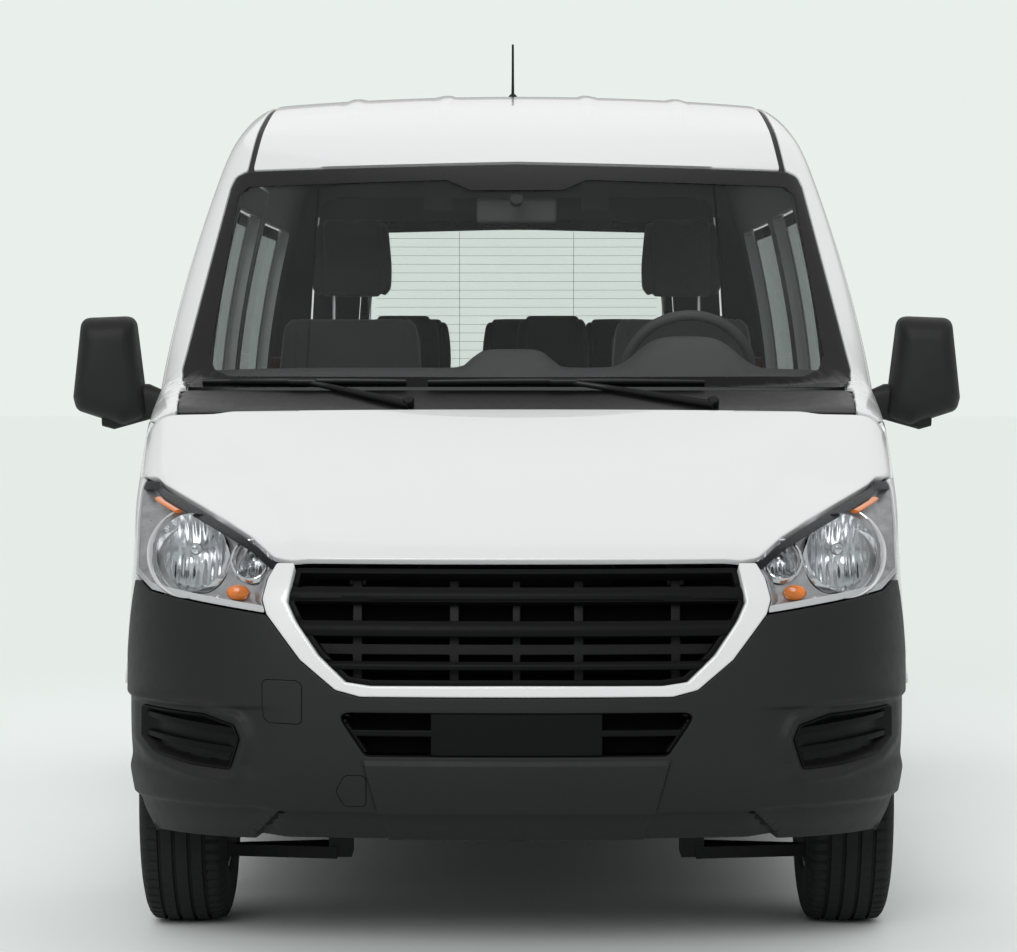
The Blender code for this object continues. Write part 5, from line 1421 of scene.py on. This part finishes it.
class MINIBUS_OT_wipers(bpy.types.Operator):
    """Makes the scuttle under the windscreen and the two parked wipers"""
    bl_idname = "minibus.wipers"
    bl_label = "Scuttle and wipers"

    def execute(self, context):
        panel("scuttle", lambda x, u, z: cowl_region(x, u, z) + 0.001, "body",
              [M("plastic_smooth")] * 2, radius=0.002, thickness=0.012, depth=0.005,
              replaces=["cowl"])
        for label, pivot, head, start, end in (("left", 0.535, 0.137, -0.245, 0.520),
                                               ("right", -0.294, -0.585, -0.872, -0.305)):
            x = np.linspace(start, end, 40)
            z = 1.437 + 0.006 * np.cos((x - head) / 0.4)
            blade = xuz(x, front_u(np.abs(x), z) - 0.004, z)
            taper = 0.0055 * np.sin(np.linspace(0.3, math.pi - 0.3, 40)) ** 0.3
            parts = [tube(blade, taper, 8), tube(blade + np.array([0, -0.008, 0.005]), taper * 1.25, 10,
                                                 squash=(0.6, 1.2))]
            x = np.linspace(pivot, head, 16)
            z = np.interp(np.abs(x - pivot), [0, abs(head - pivot)], [1.384, 1.446])
            arm = xuz(x, front_u(np.abs(x), z) - 0.020, z)
            parts.append(tube(arm, np.linspace(0.013, 0.0075, 16), 10, squash=(0.6, 1.0)))
            x = np.linspace(head + 0.030, head - 0.045, 8)
            grip = xuz(x, front_u(np.abs(x), 1.446) - 0.020, 1.446)
            parts.append(tube(grip, 0.0105, 10, squash=(0.75, 1.0)))
            base = xuz(pivot, front_u(abs(pivot), 1.384), 1.384)
            parts.append(turned([(-0.006, 0), (-0.006, 0.016), (0.018, 0.016), (0.024, 0.012),
                                 (0.026, 0)], base, (0, -0.75, 0.65), 24))
            solid("wiper_arm_" + label, parts, "body", M("plastic_smooth"))
        mast = turned([(0, 0.0), (0, 0.017), (0.006, 0.016), (0.014, 0.012), (0.020, 0.0048),
                       (0.060, 0.0042), (0.178, 0.0036), (0.180, 0.0)],
                      (-0.012, 2.95, 2.350), (0, 0, 1), 20)
        solid("mast", [mast], "body", M("plastic_smooth"), ["aerial"])
        return {"FINISHED"}


class MINIBUS_OT_rear(bpy.types.Operator):
    """Makes the tail lamps, the rear bumper and the fittings of the tailgate"""
    bl_idname = "minibus.rear"
    bl_label = "Rear trim"

    def execute(self, context):
        for side, label in ((1, "left"), (-1, "right")):
            for name, low, high, finish_name in (("reverse", 0.90, 1.03, "white_lens"),
                                                 ("turn", 1.032, 1.16, "amber"),
                                                 ("stop", 1.162, 1.54, "red_lens")):
                def block(x, u, z):
                    return np.maximum(tail_lamp_region(x, u, z) + 0.001, np.maximum(low - z, z - high))
                panel("tail_%s_%s" % (name, label), block, "body", [M(finish_name)] * 2, side, 0.003,
                      0.030, depth=-0.002, levels=2,
                      replaces=["tail_lamp_" + label] if name == "stop" else [])
        panel("rear_bumper_skin", lambda x, u, z: np.maximum(rear_bumper_region(x, u, z),
              -arch_region(x, u, z, REAR_AXLE)), "body", [M("plastic"), M("underseal")], radius=0.006,
              thickness=0.036, extra=0.055, replaces=["rear_bumper"],
              shape=lambda x, u, z: -0.006 * np.exp(-((z - 0.47) / 0.006) ** 2))
        bar = np.linspace(-0.105, 0.105, 24)
        lift = 0.012 + 0.016 * np.sqrt(np.clip(1 - (bar / 0.106) ** 4, 0, 1))
        grip = xuz(bar, rear_u(np.abs(bar), 1.062) + lift - 0.012, 1.062)
        solid("gate_handle", [tube(grip, 0.018, 14, squash=(0.55, 1.0))], "tailgate", M("plastic"))
        panel("plate_blank", lambda x, u, z: np.maximum(np.maximum(x - 0.265, np.abs(z - 0.940) - 0.062),
              4.9 - u), "tailgate", [M("plastic")] * 2, radius=0.002, thickness=0.002, depth=-0.002)
        panel("high_lamp", lambda x, u, z: np.maximum(np.maximum(x - 0.150, np.abs(z - 2.098) - 0.010),
              4.9 - u), "tailgate", [M("red_lens")] * 2, radius=0.002, thickness=0.008, depth=-0.006)
        x = np.linspace(-0.02, 0.34, 20)
        z = 1.445 + 0.02 * x
        parts = [tube(xuz(x, rear_u(np.abs(x), z) + 0.006, z), 0.006, 8)]
        x = np.linspace(0.0, 0.15, 10)
        z = np.linspace(1.372, 1.440, 10)
        parts.append(tube(xuz(x, rear_u(np.abs(x), z) + 0.014, z),
                          np.linspace(0.012, 0.007, 10), 10, squash=(0.7, 1)))
        parts.append(turned([(-0.004, 0), (-0.004, 0.020), (0.018, 0.018), (0.024, 0)],
                            xuz(0.0, rear_u(0.0, 1.372), 1.372), (0, 1, 0.1), 24))
        solid("rear_wiper", parts, "tailgate", M("plastic_smooth"))
        return {"FINISHED"}


class MINIBUS_OT_flanks(bpy.types.Operator):
    """Makes the door handles, the slider's rail, the fuel flap, wheel boxes and the roof ditch strips"""
    bl_idname = "minibus.flanks"
    bl_label = "Flank fittings"

    def execute(self, context):
        def grip(u0, u1):
            u = np.linspace(u0, u1, 26)
            t = np.linspace(-1, 1, 26)
            out = 0.006 + 0.019 * np.clip(1 - t ** 6, 0, 1) ** 0.5
            path = xuz(side_x(u, HANDLE_HEIGHT) + out - 0.008, u, HANDLE_HEIGHT)
            return tube(path, 0.0175, 14, squash=(0.45, 1.0))

        for side, label in ((1, "left"), (-1, "right")):
            solid("handle_" + label, [grip(2.195, 2.332)], "door_" + label, M("plastic"), side=side)
            liner = []
            for axle in (FRONT_AXLE, REAR_AXLE):
                a = np.radians(np.linspace(-6, 186, 60))
                r = ARCH_RADIUS + 0.004
                x = np.array([0.700, 0.960])
                ga, gx = np.meshgrid(a, x)
                keep = side_x(axle + r * np.cos(a), np.maximum(TYRE_RADIUS + r * np.sin(a), 0.31)) - 0.020
                gx[1] = np.minimum(gx[1], keep)
                outer, inner = (xuz(gx, axle + q * np.cos(ga), TYRE_RADIUS + q * np.sin(ga))
                                for q in (r, r + 0.003))
                loop = np.stack([outer[0], outer[1], inner[1], inner[0]], 1)
                liner.append(loft(loop))
            solid("liner_" + label, liner, "body", M("underseal"), side=side)
        solid("slider_handle", [grip(2.530, 2.667)], "body", M("plastic"), side=-1)
        # The slider's rail is a near-black strip: painted shade in the rail's channel.
        panel("slider_rail", lambda x, u, z: np.maximum(np.abs(z - 1.262) - 0.010,
              np.maximum(3.66 - u, u - 4.92)), "body", [M("painted_shade_black")] * 2, -1, 0.001, 0.002,
              depth=-0.0015)
        panel("fuel_flap", lambda x, u, z: outline(rounded([(3.72, 0.80), (3.88, 0.80), (3.88, 0.96),
              (3.72, 0.96)], 0.02), u, z), "body", [M("paint")] * 2, 1, 0.0015, 0.004, depth=-0.0015,
              shape=side_shape)
        panel("ditch_strip", lambda x, u, z: np.maximum(np.abs(x - ditch_x(u)) - 0.0085,
              np.maximum(1.90 - u, np.maximum(u - 5.02, 1.9 - z))), "body", [M("rubber_seal")] * 2,
              radius=0.0008, thickness=0.006, depth=0.006)
        return {"FINISHED"}


class MINIBUS_OT_wheels(bpy.types.Operator):
    """Makes the tyres with grooves and sipes, and the steel rims with holes, caps and nuts"""
    bl_idname = "minibus.wheels"
    bl_label = "Wheels"

    def execute(self, context):
        sizes = context.scene.minibus_sizes
        top = TYRE_RADIUS
        wall = [(0.1005, 0.205), (0.1050, 0.213), (0.1085, 0.224), (0.1075, 0.230), (0.1112, 0.246),
                (0.1124, 0.266), (0.1118, 0.286), (0.1124, 0.290), (0.1110, 0.296), (0.1075, 0.312),
                (0.1015, 0.326), (0.0960, 0.3335), (0.0900, 0.3385)]
        grooves = [0.020, 0.058]
        crown = []
        for a in (0.086, 0.079, 0.072, 0.0655, 0.0635, 0.0615, 0.0545, 0.0525, 0.0505, 0.043, 0.034,
                  0.0275, 0.0255, 0.0235, 0.0165, 0.0145, 0.0125, 0.006):
            r = top - 0.0060 * (a / 0.09) ** 2
            cut = min(abs(a - g) for g in grooves) < 0.0041
            crown.append((a, r - (sizes.tread_depth if cut else 0.0)))
        half = wall + crown
        prof = np.array(half + [(-a, r) for a, r in reversed(half)])
        n = sizes.tread_blocks * 4
        a = np.linspace(0, 2 * math.pi, n, endpoint=False)
        slot = np.abs(np.sin(a * sizes.tread_blocks / 2))[None] < 0.40
        zone = ((np.abs(prof[:, 0]) > 0.064) & (np.abs(prof[:, 0]) < 0.103) & (prof[:, 1] > 0.320))[:, None]
        rib = ((np.abs(prof[:, 0]) < 0.050) & (np.abs(prof[:, 0]) > 0.030))[:, None]
        radius = prof[:, 1:] - 0.0055 * (slot & zone) - 0.0025 * (np.roll(slot, 2, 1) & rib)
        index = np.arange(radius.size).reshape(radius.shape)
        index = np.concatenate([index, index[:, :1]], 1)
        index = np.concatenate([index, index[:1]], 0)
        quads = grid_quads(index)
        rim_prof = [(0.0995, 0.2044), (0.1003, 0.197), (0.0955, 0.1915), (0.0800, 0.1895), (0.0700, 0.1830),
                    (0.0655, 0.1700), (0.0620, 0.1560), (0.055, 0.1545), (0.040, 0.160), (0.0, 0.172),
                    (-0.060, 0.185), (-0.0995, 0.190), (-0.0995, 0.2044), (-0.05, 0.2030), (0.05, 0.2030),
                    (0.0995, 0.2044)]
        hub_prof = [(0.0700, 0.0660), (0.0840, 0.0625), (0.0900, 0.0500), (0.0925, 0.0300), (0.0930, 0.0),
                    (0.0640, 0.0), (0.0640, 0.0660), (0.0700, 0.0660)]
        for end, axle in (("front", FRONT_AXLE), ("rear", REAR_AXLE)):
            for side, label in ((1, "left"), (-1, "right")):
                name = end + "_" + label
                p = xuz(WHEEL_X + prof[:, :1], axle + radius * np.cos(a)[None],
                        top + radius * np.sin(a)[None]).reshape(-1, 3)
                solid("tread_" + name, [(p, [quads])], "wheel_" + name, M("rubber"), ["tyre_" + name],
                      smooth=28, side=side)
                centre = (WHEEL_X, axle, top)
                parts = [turned(rim_prof, centre, (1, 0, 0), 96), turned(hub_prof, centre, (1, 0, 0), 48)]
                parts.append(self.disc(centre))
                for k in range(5):
                    t = 2 * math.pi * (k + 0.5) / 5
                    at = (WHEEL_X + 0.074, axle + 0.080 * math.cos(t), top + 0.080 * math.sin(t))
                    parts.append(turned([(-0.006, 0), (-0.006, 0.013), (0.012, 0.013), (0.016, 0.009),
                                         (0.016, 0)], at, (1, 0, 0), 6))
                solid("rim_steel_" + name, parts, "wheel_" + name, M("steel"), ["rim_" + name], side=side)
        return {"FINISHED"}

    def disc(self, centre):
        """The dished disc: a polar grid over a curve of depth, with five round holes clipped out."""
        r = np.linspace(0.060, 0.1575, 18)
        a = np.linspace(0, 2 * math.pi, 121)
        gr, ga = np.meshgrid(r, a)
        depth = np.interp(gr, [0.060, 0.085, 0.105, 0.130, 0.1575],
                          [0.0735, 0.0720, 0.0800, 0.0735, 0.0585])
        p = xuz(centre[0] + depth, centre[1] + gr * np.cos(ga), centre[2] + gr * np.sin(ga))
        index = np.arange(gr.size).reshape(gr.shape)
        p, tris = merge(p.reshape(-1, 3), split(grid_quads(index)))
        d = np.full(len(p), -FAR)
        for k in range(5):
            t = 2 * math.pi * k / 5
            y, z = centre[1] + 0.118 * math.cos(t), centre[2] + 0.118 * math.sin(t)
            d = np.maximum(d, 0.019 - np.hypot(p[:, 1] - y, p[:, 2] - z))
        p, tris = clip(p, tris, d)
        normal = normals_of(p, tris)
        if normal[:, 0].sum() < 0:
            tris, normal = tris[:, ::-1], -normal
        return shell(p, normal, tris, 0.0015, 0.005, 2)[:2]


def moved(part, way):
    """A shape carried along by a way."""
    return part[0] + way, part[1]


def leant(p):
    """Points of an upright back turned to the back's rake."""
    return turn_points(p, np.array([0, 0.23, 0.93]), (1, 0, 0), -LEAN)


def baked(obj):
    """The mesh with its modifiers made part of it."""
    view = bpy.context.evaluated_depsgraph_get()
    mesh = bpy.data.meshes.new_from_object(obj.evaluated_get(view))
    obj.modifiers.clear()
    obj.data = mesh


def set_points(obj, p):
    obj.data.vertices.foreach_set("co", p.astype(np.float32).ravel())
    obj.data.update()


def points_of(obj):
    p = np.empty(len(obj.data.vertices) * 3, np.float32)
    obj.data.vertices.foreach_get("co", p)
    return p.reshape(-1, 3).astype(float)


def swell(p, faces, shape, voxel, cap):
    """A sewn pad: remeshed, shaped, blown up as cloth for 20 frames with each point's way capped,
    then subdivided once. Returns points (x, u, z), quads and normals."""
    obj = to_object("pad", p, faces, [])
    remesh = obj.modifiers.new("remesh", "REMESH")
    remesh.mode = "VOXEL"
    remesh.voxel_size = voxel
    baked(obj)
    start = shape(points_of(obj) - np.array([0, Y0, 0])) + np.array([0, Y0, 0])
    set_points(obj, start)
    cloth_mod = obj.modifiers.new("cloth", "CLOTH")
    cloth_mod.settings.use_pressure = True
    cloth_mod.settings.uniform_pressure_force = 4.0
    cloth_mod.settings.effector_weights.gravity = 0.0
    cloth_mod.point_cache.frame_start = 1
    cloth_mod.point_cache.frame_end = 20
    for number in range(1, 21):
        bpy.context.scene.frame_set(number)
    baked(obj)
    way = points_of(obj) - start
    size = np.linalg.norm(way, axis=1, keepdims=True)
    start = start + way * np.minimum(1.0, cap / np.maximum(size, 1e-9))
    set_points(obj, start)
    bpy.context.scene.frame_set(1)
    fine = obj.modifiers.new("fine", "SUBSURF")
    fine.levels = fine.render_levels = 1
    baked(obj)
    p = points_of(obj) - np.array([0, Y0, 0])
    quads = np.empty(len(obj.data.loops), np.int32)
    obj.data.loops.foreach_get("vertex_index", quads)
    normals = np.empty(len(p) * 3, np.float32)
    obj.data.vertex_normals.foreach_get("vector", normals)
    bpy.data.objects.remove(obj)
    return p, quads.reshape(-1, 4), normals.reshape(-1, 3).astype(float)


def sewn(p, quads, normals, lines, depth=0.007, width=0.006):
    """Press a seam into a pad along each line where a distance is zero."""
    d = np.full(len(p), FAR)
    for line in lines:
        d = np.minimum(d, np.abs(line(*p.T)))
    return p - normals * (depth * np.exp(-(d / width) ** 2))[:, None], [quads]


LEAN = math.degrees(0.22)


def seat_pads(half, shares, back_top, head_low, head_top, voxel):
    """Cushion, back and head pads of one seat about x = 0 and u = 0."""
    single = len(shares) == 1
    upright = [lambda x, u, z: np.abs(x / half) - 0.62] if single else [
        lambda x, u, z: x / half - 1 / 3, lambda x, u, z: x / half + 1 / 3]

    def sit(p):
        """Higher along its sides, hollow in the middle, rolled over and narrower in front."""
        x, u, z = p.T.copy()
        s, t = x / half, (u + 0.285) / 0.435
        top = step(z, 0.88, 0.94)
        side = np.abs(s) ** (3 if single else 8)
        z = z + top * (0.026 * side - 0.008 * (1 - s * s) - 0.045 * np.clip(1 - t / 0.28, 0, 1) ** 2)
        return xuz(x * (1 - 0.05 * (1 - t) * single), u, z)

    def rest(p):
        """Narrower at the shoulders, with side bolsters and a swell at the small of the back."""
        x, u, z = p.T.copy()
        s, h = x / half, (z - 0.90) / (back_top - 0.90)
        front = 1 - step(u, 0.19, 0.24)
        side = np.abs(s) ** (3 if single else 8)
        u = u - front * (0.034 * side * (1 - 0.5 * h) + 0.014 * np.exp(-((h - 0.35) / 0.2) ** 2))
        return xuz(x * (1 - (0.17 if single else 0.03) * np.clip(h, 0, 1) ** 3), u, z)

    def head(p):
        """A little narrower and thinner towards the top."""
        x, u, z = p.T.copy()
        h = (z - head_low) / (head_top - head_low)
        return xuz(x * (1 - 0.12 * h * h), u + 0.012 * h, z)

    out = []
    body = rounded_box((0.015 - half, -0.285, 0.850), (half - 0.015, 0.150, 0.968), 0.048)
    lines = upright + [lambda x, u, z: u + 0.165, lambda x, u, z: z - 0.905]
    out.append(sewn(*swell(*body, sit, voxel, 0.010), lines))
    body = rounded_box((0.018 - half, 0.170, 0.905), (half - 0.018, 0.268, back_top - 0.01), 0.042)
    lines = upright + [lambda x, u, z, e=e: z - 0.90 - e * (back_top - 0.90) for e in (0.30, 0.72)]
    lines += [lambda x, u, z: u - 0.232]
    p, faces = sewn(*swell(*body, rest, voxel, 0.010), lines)
    out.append((leant(p), faces))
    body = rounded_box((-0.124, 0.186, head_low + 0.006), (0.124, 0.266, head_top - 0.006), 0.036)
    p, faces = sewn(*swell(*body, head, min(voxel, 0.012), 0.008), [lambda x, u, z: np.abs(x) - 0.092])
    for share in shares:
        at = p + np.array([share, 0, 0])
        out.append((leant(at), faces))
    return out


class MINIBUS_OT_seats(bpy.types.Operator):
    """Makes the seats: simulated and sewn pads, head rests on steel posts, frames and covers"""
    bl_idname = "minibus.seats"
    bl_label = "Seats"

    def execute(self, context):
        front = seat_pads(0.265, (0.0,), 1.665, 1.715, 1.975, 0.016)
        second = seat_pads(0.74, (-0.50, 0.0, 0.50), 1.420, 1.455, 1.680, 0.027)
        third = seat_pads(0.52, (-0.36, 0.0, 0.36), 1.420, 1.455, 1.680, 0.027)
        seats = (("driver_seat", front, 0.51, 1.98, 0.265, (0.0,), 1.665),
                 ("passenger_seat", front, -0.51, 1.98, 0.265, (0.0,), 1.665),
                 ("second_bench", second, 0.12, 2.98, 0.74, (-0.50, 0.0, 0.50), 1.420),
                 ("third_bench", third, 0.0, 3.93, 0.52, (-0.36, 0.0, 0.36), 1.420))
        for name, pads, x, u, half, shares, back_top in seats:
            at = np.array([x, u, 0])
            obj = solid(name + "_pads", [moved(pad, at) for pad in pads], "body",
                        M("seat_cloth"), [name], smooth=180)
            posts = []
            for share in shares:
                for k in (-0.055, 0.055):
                    path = [(share + k, 0.230, back_top - 0.03), (share + k, 0.226, back_top + 0.12)]
                    posts.append(tube(leant(path) + at, 0.006, 10))
            back = rounded_box((0.05 - half, 0.262, 0.93), (half - 0.05, 0.284, back_top - 0.06), 0.010)
            parts = [rounded_box((0.03 - half, -0.265, 0.815), (half - 0.03, 0.24, 0.852), 0.014),
                     (leant(back[0]), back[1])]
            feet = (-0.20, 0.20) if half < 0.3 else (-half + 0.12, 0.0, half - 0.12)
            for f in feet:
                for low, high in (((f - 0.022, -0.24, 0.5675), (f + 0.022, 0.22, 0.600)),
                                  ((f - 0.018, -0.20, 0.590), (f + 0.018, -0.14, 0.825)),
                                  ((f - 0.018, 0.12, 0.590), (f + 0.018, 0.18, 0.825))):
                    parts.append(rounded_box(low, high, 0.006))
            if half < 0.3:
                parts.append(rounded_box((0.04 - half, -0.235, 0.66), (half - 0.04, 0.215, 0.82), 0.02))
            solid(name + "_frame", [moved(part, at) for part in parts], "body", M("trim"))
            solid(name + "_posts", posts, "body", M("chrome"))
        return {"FINISHED"}


class MINIBUS_OT_cabin(bpy.types.Operator):
    """Makes the dashboard, the steering wheel, the floor covering and the inner mirror"""
    bl_idname = "minibus.cabin"
    bl_label = "Cabin"

    def execute(self, context):
        x = np.linspace(-0.925, 0.925, 75)
        hood = np.exp(-((x - 0.485) / 0.155) ** 4) * 0.090
        hump = np.exp(-((x + 0.015) / 0.120) ** 6) * 0.053
        rise = np.maximum(hood, hump)
        b = np.array([(1.245, 1.00, 0), (1.243, 1.20, 0), (1.245, 1.36, 0), (1.29, 1.395, 0),
                      (1.345, 1.430, 0.35), (1.395, 1.462, 0.8), (1.44, 1.480, 1.0),
                      (1.50, 1.484, 1.0), (1.545, 1.474, 0.92), (1.575, 1.450, 0.6),
                      (1.59, 1.425, 0.2), (1.615, 1.405, 0), (1.640, 1.37, 0), (1.655, 1.30, 0),
                      (1.655, 1.20, 0), (1.63, 1.12, 0), (1.58, 1.04, 0), (1.50, 1.00, 0),
                      (1.38, 0.985, 0)])
        narrow = 0.012 * (np.abs(x) / 0.925) ** 6
        sections = xuz(x[:, None], b[None, :, 0],
                       b[None, :, 1] + rise[:, None] * b[None, :, 2] - narrow[:, None])
        parts = [loft(sections[:, ::-1])]
        parts.append(rounded_box((-0.150, 1.33, 0.66), (0.150, 1.655, 1.10), 0.03))
        tilt = np.array([0, 0.90, 0.44]) / math.hypot(0.90, 0.44)
        centre = np.array(STEER_CENTRE)
        parts.append(turned([(-0.30, 0), (-0.30, 0.046), (-0.10, 0.042), (-0.052, 0.040), (-0.050, 0)],
                            centre, tilt, 28))
        solid("dash_top", parts, "body", M("trim"), ["dashboard"])
        for z0, z1, u in ((1.22, 1.33, 1.652), (1.08, 1.19, 1.638)):
            unit_box = rounded_box((-0.12, u - 0.02, z0), (0.12, u + 0.006, z1), 0.006)
            solid("dash_unit_%d" % (z0 * 100), [unit_box], "body", M("gloss_black"))
        side_axis = np.array([1.0, 0, 0])
        up_axis = np.cross(side_axis, tilt)
        a = np.linspace(0, 2 * math.pi, 97)[:-1]
        ring = centre + 0.183 * (np.cos(a)[:, None] * side_axis + np.sin(a)[:, None] * up_axis)
        pad = turned([(-0.045, 0), (-0.045, 0.070), (-0.010, 0.072), (0.010, 0.062),
                      (0.018, 0.030), (0.019, 0)], centre, tilt, 32)
        wheel = [tube(ring, 0.0155, 14, closed=True), pad]
        for angle in (0, 180, 270):
            t = math.radians(angle)
            way = math.cos(t) * side_axis + math.sin(t) * up_axis
            if up_axis[2] < 0 and angle == 270:
                way = -way
            k = np.linspace(0.05, 0.178, 10)[:, None]
            wheel.append(tube(centre + way * k - tilt * 0.004, np.linspace(0.022, 0.015, 10), 12,
                              squash=(1.0, 0.5)))
        solid("wheel_ring", wheel, "steering_wheel", M("trim"), ["steering_wheel"])
        u = np.linspace(1.25, 5.04, 60)
        corners = ((-1, 0.5605), (1, 0.5605), (1, 0.567), (-1, 0.567))
        rows = np.stack([xuz(side * 0.90, u, z) for side, z in corners], 1)
        solid("floor_cover", [loft(rows)], "body", M("carpet"))
        back = rounded_box((-0.118, 1.817, 1.907), (0.118, 1.838, 1.982), 0.012)
        stem = tube([(0, 1.835, 1.96), (0, 1.87, 2.0), (0, 1.90, 2.02)], 0.009, 10)
        pod = rounded_box((-0.145, 1.865, 2.000), (0.145, 2.055, 2.040), 0.015)
        pod[0][:, 2] += (pod[0][:, 1] - 1.865) * 0.25
        solid("inner_mirror_case", [back, stem, pod], "body", M("trim"), ["inner_mirror"])
        solid("inner_mirror_pane", [rounded_box((-0.112, 1.838, 1.912), (0.112, 1.8405, 1.977), 0.001)],
              "body", M("mirror_glass"))
        return {"FINISHED"}


# The photograph's view: lens in mm, camera in m, its turn in degrees
LENS = 130.09
CAMERA_AT = (0, -11.65, 1.5)
CAMERA_TURN = (90 - 1.777, 0, 0.125)


class MINIBUS_OT_stage(bpy.types.Operator):
    """Makes the floor, the light and the camera"""
    bl_idname = "minibus.stage"
    bl_label = "Stage"

    def execute(self, context):
        scene = context.scene
        colour = scene.minibus_finish.floor
        scene.view_settings.view_transform = "Standard"
        mesh = bpy.data.meshes.new("floor")
        mesh.from_pydata([(-90, -90, 0), (90, -90, 0), (90, 90, 0), (-90, 90, 0)], [], [(0, 1, 2, 3)])
        floor = bpy.data.objects.new("floor", mesh)
        scene.collection.objects.link(floor)
        mat, nodes, links, shader = nodes_of("floor")
        fill(shader, {"Roughness": 0.9, "Specular IOR Level": 0.0})
        # For camera rays the floor is painted lighter near the vehicle, 1.17 times the backdrop colour
        # fading to 1.075 times further out: painted light that lifts the shade the vehicle casts on the
        # floor around it.
        near = add(nodes, "Mix", data_type="RGBA")
        fill(near, {6: (*[min(c * 1.17, 1.0) for c in colour], 1), 7: (*[c * 1.075 for c in colour], 1)})
        here = add(nodes, "TexCoord")
        far = add(nodes, "VectorMath", {1: (1 / 3.4, 1 / 4.6, 0)}, operation="MULTIPLY")
        size = add(nodes, "VectorMath", operation="LENGTH")
        fade = add(nodes, "MapRange", {"From Min": 0.7, "From Max": 1.6}, interpolation_type="SMOOTHSTEP")
        tone = add(nodes, "Mix", data_type="RGBA")
        fill(tone, {6: (*colour, 1)})
        links.new(here.outputs["Object"], far.inputs[0])
        links.new(far.outputs[0], size.inputs[0])
        links.new(size.outputs["Value"], fade.inputs["Value"])
        links.new(fade.outputs["Result"], near.inputs[0])
        links.new(near.outputs[2], tone.inputs[7])
        links.new(add(nodes, "LightPath").outputs["Is Camera Ray"], tone.inputs[0])
        links.new(tone.outputs[2], shader.inputs["Base Color"])
        floor.data.materials.append(mat)
        world = bpy.data.worlds.new("studio")
        scene.world = world
        world.use_nodes = True
        nodes, links = world.node_tree.nodes, world.node_tree.links
        light = nodes["Background"]
        fill(light, {"Strength": 0.69})
        split_up = add(nodes, "SeparateXYZ")
        ramp = add(nodes, "MapRange", {"From Min": 0.02, "From Max": 0.60, "To Min": 0.54, "To Max": 1.0},
                   interpolation_type="SMOOTHSTEP")
        links.new(add(nodes, "TexCoord").outputs["Generated"], split_up.inputs[0])
        links.new(split_up.outputs["Z"], ramp.inputs["Value"])
        links.new(ramp.outputs["Result"], light.inputs["Color"])
        seen = add(nodes, "Background", {"Color": (*colour, 1), "Strength": 1.0})
        mix = add(nodes, "MixShader")
        links.new(add(nodes, "LightPath").outputs["Is Camera Ray"], mix.inputs[0])
        links.new(light.outputs[0], mix.inputs[1])
        links.new(seen.outputs[0], mix.inputs[2])
        links.new(mix.outputs[0], nodes["World Output"].inputs["Surface"])
        for name, energy, angle, tilt, turn in (("sun_front", 1.05, 30, 58, -10),
                                                ("sun_back", 0.3, 60, 48, 170)):
            lamp = bpy.data.lights.new(name, "SUN")
            lamp.energy = energy
            lamp.angle = math.radians(angle)
            obj = bpy.data.objects.new(name, lamp)
            obj.rotation_euler = (math.radians(tilt), 0, math.radians(turn))
            scene.collection.objects.link(obj)
        cam = bpy.data.cameras.new("camera")
        cam.lens, cam.sensor_width = LENS, 36.0
        cam.clip_end = 400
        obj = bpy.data.objects.new("camera", cam)
        obj.location = CAMERA_AT
        obj.rotation_euler = [math.radians(v) for v in CAMERA_TURN]
        scene.collection.objects.link(obj)
        scene.camera = obj
        return {"FINISHED"}


CARRIED = {
    "underseal": ["underbody", "front_subframe", "rear_axle", "fuel_tank"],
    "iron": ["engine", "radiator", "knuckle_left", "knuckle_right"],
}


class MINIBUS_OT_carried(bpy.types.Operator):
    """Gives the carried-over nodes their finishes"""
    bl_idname = "minibus.carried"
    bl_label = "Carried parts"

    def execute(self, context):
        for finish_name, names in CARRIED.items():
            for name in names:
                obj = frame["nodes"][name]
                obj.data.materials.clear()
                obj.data.materials.append(M(finish_name))
        return {"FINISHED"}


STEPS = ("finishes", "panels", "glass", "front", "headlamps", "mirrors", "wipers", "rear", "flanks",
         "wheels", "seats", "cabin", "carried", "stage")


class MINIBUS_PT_panel(bpy.types.Panel):
    """Lists the steps and the values they use"""
    bl_idname = "MINIBUS_PT_panel"
    bl_label = "Minibus"
    bl_space_type = "VIEW_3D"
    bl_region_type = "UI"
    bl_category = "Minibus"

    def draw(self, context):
        for group in (context.scene.minibus_sizes, context.scene.minibus_finish):
            for name in group.__annotations__:
                self.layout.prop(group, name)
        for name in STEPS:
            self.layout.operator("minibus." + name)


CLASSES = (MinibusSizes, MinibusFinish, MINIBUS_OT_finishes, MINIBUS_OT_panels, MINIBUS_OT_glass,
           MINIBUS_OT_front, MINIBUS_OT_headlamps, MINIBUS_OT_mirrors, MINIBUS_OT_wipers,
           MINIBUS_OT_rear, MINIBUS_OT_flanks, MINIBUS_OT_wheels, MINIBUS_OT_seats,
           MINIBUS_OT_cabin, MINIBUS_OT_carried, MINIBUS_OT_stage, MINIBUS_PT_panel)


def register():
    for cls in CLASSES:
        bpy.utils.register_class(cls)
    bpy.types.Scene.minibus_sizes = PointerProperty(type=MinibusSizes)
    bpy.types.Scene.minibus_finish = PointerProperty(type=MinibusFinish)


def unregister():
    del bpy.types.Scene.minibus_finish
    del bpy.types.Scene.minibus_sizes
    for cls in reversed(CLASSES):
        bpy.utils.unregister_class(cls)


def main():
    """Register and run every step in order."""
    register()
    for name in STEPS:
        getattr(bpy.ops.minibus, name)()
    bpy.context.view_layer.update()


if __name__ == "__main__":
    main()
